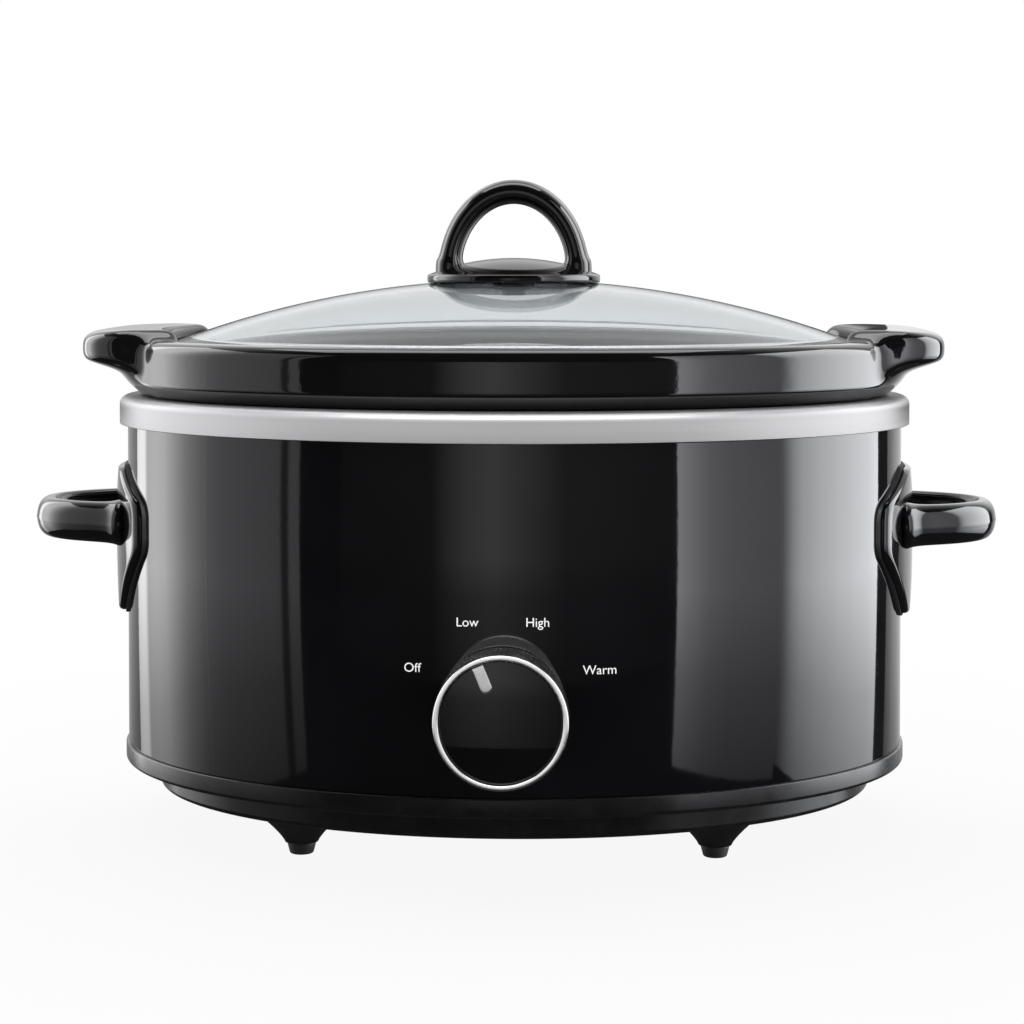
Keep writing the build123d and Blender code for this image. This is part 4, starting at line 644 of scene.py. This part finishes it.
# offset from the oval, height, share of the lug's reach, height where the lug is
RIM_ROWS = [(-15.2, 161.6, 0, 161.6), (-14.2, 162.0, 0, 161.8), (-8, 161.8, 0, 161.8),
            (-5.2, 161.8, 0, 162.0), (-4.4, 162.2, 0, 162.8), (-0.5, 166.0, 0, 166.2),
            (0, 167.0, 0.08, 168.6), (0, 168.6, 0.2, 170.9), (0, 170, 0.5, 172.9),
            (0, 171.6, 0.82, 174.6), (0, 173.2, 0.97, 176.0), (0, 175.5, 1, 178.4),
            (0, 178.0, 1, 181.0), (-0.2, 179.6, 0.99, 183.4), (-1.2, 181.3, 0.93, 185.4),
            (-2.8, 182.5, 0.8, 186.6), (-5.4, 182.9, 0.6, 187.0), (-8.5, 182.9, 0.34, 187.0),
            (-11.4, 182.6, 0.1, 186.9), (-13.2, 181.8, 0, 186.2), (-14.3, 180.3, 0, 184.6),
            (-14.5, 178.6, 0, 181), (-14.6, 177.6, 0, 177.6), (-15.4, 177.45, 0, 177.45),
            (-20.4, 177.45, 0, 177.45), (-21.5, 176.8, 0, 176.8), (-21.9, 174.5, 0, 174.5)]


def lug_reach(angle):
    """How far the lugs stand out beyond the oval in each direction: the rim's plan is the oval
    joined with a rounded rectangle, taken as a smooth maximum of their distances along each ray
    from the middle, by the logarithm of the sum of exponentials."""
    c, s = np.abs(np.cos(angle)), np.abs(np.sin(angle))
    oval = 1 / np.hypot(c / HALF_LENGTH, s / HALF_DEPTH)
    straight = np.minimum(EAR_TIP / np.maximum(c, 1e-9), EAR_HALF_WIDTH / np.maximum(s, 1e-9))
    centre = np.array([EAR_TIP - EAR_CORNER, EAR_HALF_WIDTH - EAR_CORNER])
    along = c * centre[0] + s * centre[1]
    gap = centre @ centre - along ** 2
    corner = along + np.sqrt(np.maximum(EAR_CORNER ** 2 - gap, 0))
    turn = np.arctan2(s, c)
    in_corner = (turn > math.atan2(centre[1], EAR_TIP)) & (turn < math.atan2(EAR_HALF_WIDTH, centre[0]))
    lug = np.where(in_corner, np.minimum(corner, straight), straight)
    return EAR_BLEND * np.logaddexp(oval / EAR_BLEND, lug / EAR_BLEND) - oval, oval


def crock_grid(around=160):
    """Rings of the oval shrunk by each row's offset, pushed outward along the ray by the row's
    share of the lug, with the height going over to the lug's height where the lug stands out.
    Angles crowd round the lugs' corners."""
    turn = np.arange(around) / around * 2 * math.pi
    turn = turn - 0.42 * np.sin(2 * turn) / 2
    reach, oval = lug_reach(turn)
    lug = np.clip(reach / 6.0, 0, 1)
    lug = lug * lug * (3 - 2 * lug)
    offset, z, share, lug_z = np.asarray(RIM_ROWS, float).T[:, :, None]
    t = np.arctan2(HALF_LENGTH * np.sin(turn), HALF_DEPTH * np.cos(turn))
    x = (HALF_LENGTH + offset) * np.cos(t) + np.cos(turn) * reach * share
    y = (HALF_DEPTH + offset) * np.sin(t) + np.sin(turn) * reach * share
    rim = np.stack([x, y + OVAL_Y / MM, z + (lug_z - z) * lug], -1)
    bottom = oval_axes(rounded([(-60, OUTER_FLOOR, 0), (-37, OUTER_FLOOR, 2.0), (-31, 56, 6.0),
                                (-15.2, 160, 0)], steps=4))
    hollow = oval_axes(rounded([(-22, 171, 0), (-22.3, 162.8, 3), (-38, 66, 12), (-46, INNER_FLOOR, 6),
                                (-70, INNER_FLOOR, 0)], steps=4))

    def plain(axes):
        length, depth, height = np.asarray(axes, float).T[:, :, None]
        return np.stack([length * np.cos(t), depth * np.sin(t) + OVAL_Y / MM, height + 0 * t], -1)

    return np.concatenate([plain([(0, 0, OUTER_FLOOR)]), plain(bottom), rim, plain(hollow),
                           plain([(0, 0, INNER_FLOOR)])]) * MM


crock = surface("glazed_crock", crock_grid())
smooth = crock.modifiers.new("rounding", "SUBSURF")
smooth.levels = smooth.render_levels = 2
glaze = finish("black_glaze", (0.0045, 0.004, 0.0045), 0.05, grain=160.0, vary=0.3, bump=0.00003)
crock.data.materials.append(glaze)
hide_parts("stoneware_crock")
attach(crock, "crock")
dark_gloss.objects.link(crock)

# ---------------------------------------------------------------- lid glass
# Pressed, tempered soda-lime glass: a low dome with a flat flange that lies on the crock's ledge
# and a hole in the middle for the handle's screw.
LID_BOTTOM, LID_EDGE, LID_RISE, GLASS = 177.8, 3.0, 24.2, 4.0
LID_HALF_LENGTH, LID_HALF_DEPTH, FLANGE, HOLE = 131.0, 97.0, 7.0, 3.5
EDGE_ROUND = 1.5


def ball_radius(reach, rise):
    """The radius of the ball whose cap is this high over a circle of this radius: the sum of
    their squares over twice the height."""
    return (reach ** 2 + rise ** 2) / (2 * rise)


def dome_rows(half_length, half_depth, base, rise, shares):
    """Rows over a dome: a circular arc of this rise along the length, shrunk to the oval's depth
    across it, from the hole's edge at share 0 to the rim at share 1."""
    radius = ball_radius(half_length, rise)
    along = HOLE + shares * (half_length - HOLE)
    across = HOLE + shares * (half_depth - HOLE)
    return np.stack([along, across, base + rise - radius + np.sqrt(radius ** 2 - along ** 2)], -1)


ease = np.linspace(0, 1, 40)
top_rows = dome_rows(LID_HALF_LENGTH, LID_HALF_DEPTH, LID_BOTTOM + LID_EDGE, LID_RISE, ease)[:-1]
under_rise = LID_EDGE + LID_RISE - GLASS
under_rows = dome_rows(LID_HALF_LENGTH - FLANGE, LID_HALF_DEPTH - FLANGE, LID_BOTTOM, under_rise, 1 - ease)
edge_turn = np.linspace(0, math.pi, 9)[:, None]
edge_middle = np.array([LID_HALF_LENGTH - EDGE_ROUND, LID_HALF_DEPTH - EDGE_ROUND, LID_BOTTOM + EDGE_ROUND])
edge_rows = edge_middle + np.concatenate([EDGE_ROUND * np.sin(edge_turn), EDGE_ROUND * np.sin(edge_turn),
                                          EDGE_ROUND * np.cos(edge_turn)], -1)
lid_rows = np.concatenate([top_rows, edge_rows, under_rows])[::-1]
lid = surface("lid_dome", rings(lid_rows, 288), ring=True)
clear = bpy.data.materials.new("clear_glass")
clear.use_nodes = True
lid.data.materials.append(clear)
tree = clear.node_tree
glass_shader = tree.nodes["Principled BSDF"]
glass_shader.inputs["Transmission Weight"].default_value = 1.0
glass_shader.inputs["IOR"].default_value = 1.5
where = add(tree, "TexCoord")
ripple = add(tree, "TexNoise", Scale=38.0, Detail=2.0)
streak = add(tree, "TexNoise", Scale=90.0, Detail=3.0)
relief = add(tree, "Bump", Strength=0.6)
relief.inputs["Distance"].default_value = 0.000015
tone = ramp(tree, streak.outputs[0], [(0.3, (0.855, 0.895, 0.915)), (0.7, (0.885, 0.92, 0.935))])
wipe = ramp(tree, streak.outputs[0], [(0.35, 0.0), (0.75, 0.03)])
join(tree, where.outputs["Object"], ripple.inputs["Vector"], where.outputs["Object"], streak.inputs["Vector"],
     ripple.outputs[0], relief.inputs["Height"], relief.outputs[0], glass_shader.inputs["Normal"],
     tone, glass_shader.inputs["Base Color"], wipe, glass_shader.inputs["Roughness"])
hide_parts("lid_glass")
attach(lid, "lid")
bare_metal.objects.link(lid)

# ---------------------------------------------------------------- lid handle
# One gloss black moulding: a round crowned foot on the glass and an arch across it, round in
# section, whose legs flare a little where they meet the foot.
APEX = LID_BOTTOM + LID_EDGE + LID_RISE
DISC_RADIUS, DISC_EDGE, DISC_CROWN, DISC_LIP = 33.0, APEX + 1.7, 6.5, 0.9
ARCH_BASE = APEX + 3.0
ARCH_OUT, ARCH_IN, ARCH_TALL, ARCH_TALL_IN, ARCH_DEEP = 28.6, 20.2, 35.0, 25.8, 20.0


def arch_grid():
    """The arch's centre line is half an ellipse on two short legs. Its section is a superellipse
    of power 2.6 whose thickness goes evenly from the outer ellipse to the inner one, swelling at
    the feet by an exponential of the height."""
    angle = np.linspace(0, math.pi, 81)
    x, up = np.cos(angle), np.sin(angle)
    outer = np.stack([ARCH_OUT * x, ARCH_TALL * up], -1)
    inner = np.stack([ARCH_IN * x, ARCH_TALL_IN * up], -1)
    leg = np.array([[0, -6.0], [0, -3.0]])
    outer = np.concatenate([outer[:1] + leg, outer, outer[-1:] + leg[::-1]])
    inner = np.concatenate([inner[:1] + leg, inner, inner[-1:] + leg[::-1]])
    middle, half = (outer + inner) / 2, (outer - inner) / 2
    swell = 1 + 0.28 * np.exp(-np.clip(middle[:, 1:] - 3.5, 0, None) / 1.6)
    section = np.arange(40) / 40 * 2 * math.pi
    power = 2 / 2.6
    c = np.sign(np.cos(section)) * np.abs(np.cos(section)) ** power
    s = np.sign(np.sin(section)) * np.abs(np.sin(section)) ** power
    flat = middle[:, None] + half[:, None] * (c[None, :, None] * swell[:, None])
    deep = s[None] * ARCH_DEEP / 2 * (0.86 + 0.14 * swell)
    grid = np.stack([flat[..., 0], deep + OVAL_Y / MM, flat[..., 1] + ARCH_BASE], -1)
    ends = [np.broadcast_to(grid[i].mean(0), grid[i].shape)[None] for i in (0, -1)]
    return np.concatenate([ends[0], grid, ends[1]]) * MM


crown_ball = ball_radius(DISC_RADIUS, DISC_CROWN)
dome_ball = ball_radius(LID_HALF_LENGTH, LID_RISE)
r = np.linspace(0, DISC_RADIUS - DISC_LIP, 16)
under = np.stack([r, APEX + 0.12 - dome_ball + np.sqrt(dome_ball ** 2 - r ** 2)], -1)
over = np.stack([r, DISC_EDGE + DISC_CROWN - crown_ball + np.sqrt(crown_ball ** 2 - r ** 2)], -1)[::-1]
turn = np.linspace(0, 1, 9)[1:-1]
lip_low, lip_high = under[-1, 1], over[0, 1]
lip = np.stack([DISC_RADIUS - DISC_LIP + DISC_LIP * np.sin(turn * math.pi) ** 0.6,
                lip_low + (lip_high - lip_low) * (0.5 - 0.5 * np.cos(turn * math.pi))], -1)
disc_rings = turned_rings(np.concatenate([under, lip, over]), 0, 0, 160)
lid_handle = surface("lid_handle_moulding", disc_rings, arch_grid())
lid_handle.data.materials.append(gloss)
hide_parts("lid_handle")
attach(lid_handle, "lid")
dark_gloss.objects.link(lid_handle)

# ---------------------------------------------------------------- cord gland
# A snap-in nylon bushing in the middle of the back, where the mains cord goes in: a rounded
# flange outside, a collar inside and a smooth bore.
GLAND_Z = 44.0
BORE, COLLAR, BARB, GLAND_FLANGE = 3.6, 4.7, 6.0, 7.5
COLLAR_END, BARB_BACK, BARB_FRONT, FLANGE_BACK, FLANGE_FRONT = -11, -3.5, -1.1, 0.1, 3.6
gland_profile = rounded([(BORE, COLLAR_END, 0.4), (COLLAR, COLLAR_END, 0.3), (COLLAR, BARB_BACK, 0),
                         (BARB, BARB_BACK, 0.3), (BARB, BARB_FRONT, 0.2), (COLLAR, BARB_FRONT, 0),
                         (COLLAR, FLANGE_BACK, 0), (GLAND_FLANGE, FLANGE_BACK, 0.4),
                         (GLAND_FLANGE, FLANGE_FRONT, 1.2), (BORE, FLANGE_FRONT, 1.0)],
                        steps=4, closed=True)
angle = np.arange(72) / 72 * 2 * math.pi
radius, depth = gland_profile.T[:, :, None]
gland_points = np.stack([radius * np.cos(angle), HALF_DEPTH + OVAL_Y / MM + depth + 0 * angle,
                         GLAND_Z + radius * np.sin(angle)], -1) * MM
gland = surface("cord_bushing", gland_points[:, ::-1], ring=True)
gland.data.materials.append(satin)
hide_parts("cord_gland")
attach(gland, "base_unit")
dark_gloss.objects.link(gland)

# ---------------------------------------------------------------- inside and underneath
# What the shell, the pan and the knob hide: the heating ribbon and its strap, the switch, the
# wiring, the fasteners and the seals. Each keeps its designed shape and takes its own finish.
zinc = finish("zinc_plate", (0.50, 0.52, 0.54), 0.32, metallic=1.0, grain=800.0, vary=0.15)
bright_sheet = finish("bright_sheet", (0.72, 0.72, 0.73), 0.2, metallic=1.0, grain=500.0, vary=0.08,
                      bump=0.000008, stretch=(0.1, 4, 1))
brass = finish("tinned_brass", (0.68, 0.52, 0.27), 0.3, metallic=1.0, grain=1500.0, vary=0.15)
ribbon = finish("glass_ribbon", (0.50, 0.46, 0.38), 0.8, grain=1400.0, vary=0.25, bump=0.0002,
                stretch=(1, 1, 3))
cream = finish("cream_moulding", (0.70, 0.67, 0.60), 0.4, grain=1200.0, vary=0.06)
nylon = finish("white_nylon", (0.80, 0.80, 0.77), 0.38, grain=1300.0, vary=0.05)
sleeve = finish("braided_sleeve", (0.78, 0.75, 0.68), 0.75, grain=3500.0, vary=0.2, bump=0.0001,
                stretch=(1, 1, 2))
seal = finish("black_silicone", (0.015, 0.015, 0.016), 0.5, grain=1800.0, bump=0.00002)
INSIDE = {
    zinc: ("heater_strap", "heater_strap_screw", "well_bracket", "centre_stud", "stud_spacers",
           "centre_washer", "centre_nut", "handle_backing_plates", "handle_screws", "switch_washer",
           "switch_nut", "knob_clip", "thermal_fuse", "fuse_clip", "lid_washer_steel", "lid_screw"),
    bright_sheet: ("heat_shield",),
    brass: ("heater_tabs", "switch_blades", "wire_connectors", "terminal_screws"),
    ribbon: ("heating_band",),
    cream: ("switch_housing", "switch_cover", "switch_shaft"),
    nylon: ("terminal_block",),
    sleeve: ("lead_warm", "lead_high", "lead_low", "lead_line", "lead_return", "lead_fuse"),
    seal: ("handle_gaskets", "lid_handle_seal", "lid_washer_silicone"),
    piano: ("knob_core",),
}
for material, names in INSIDE.items():
    for name in names:
        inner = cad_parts[name]
        inner.data.materials.clear()
        inner.data.materials.append(material)
        bare_metal.objects.link(inner)
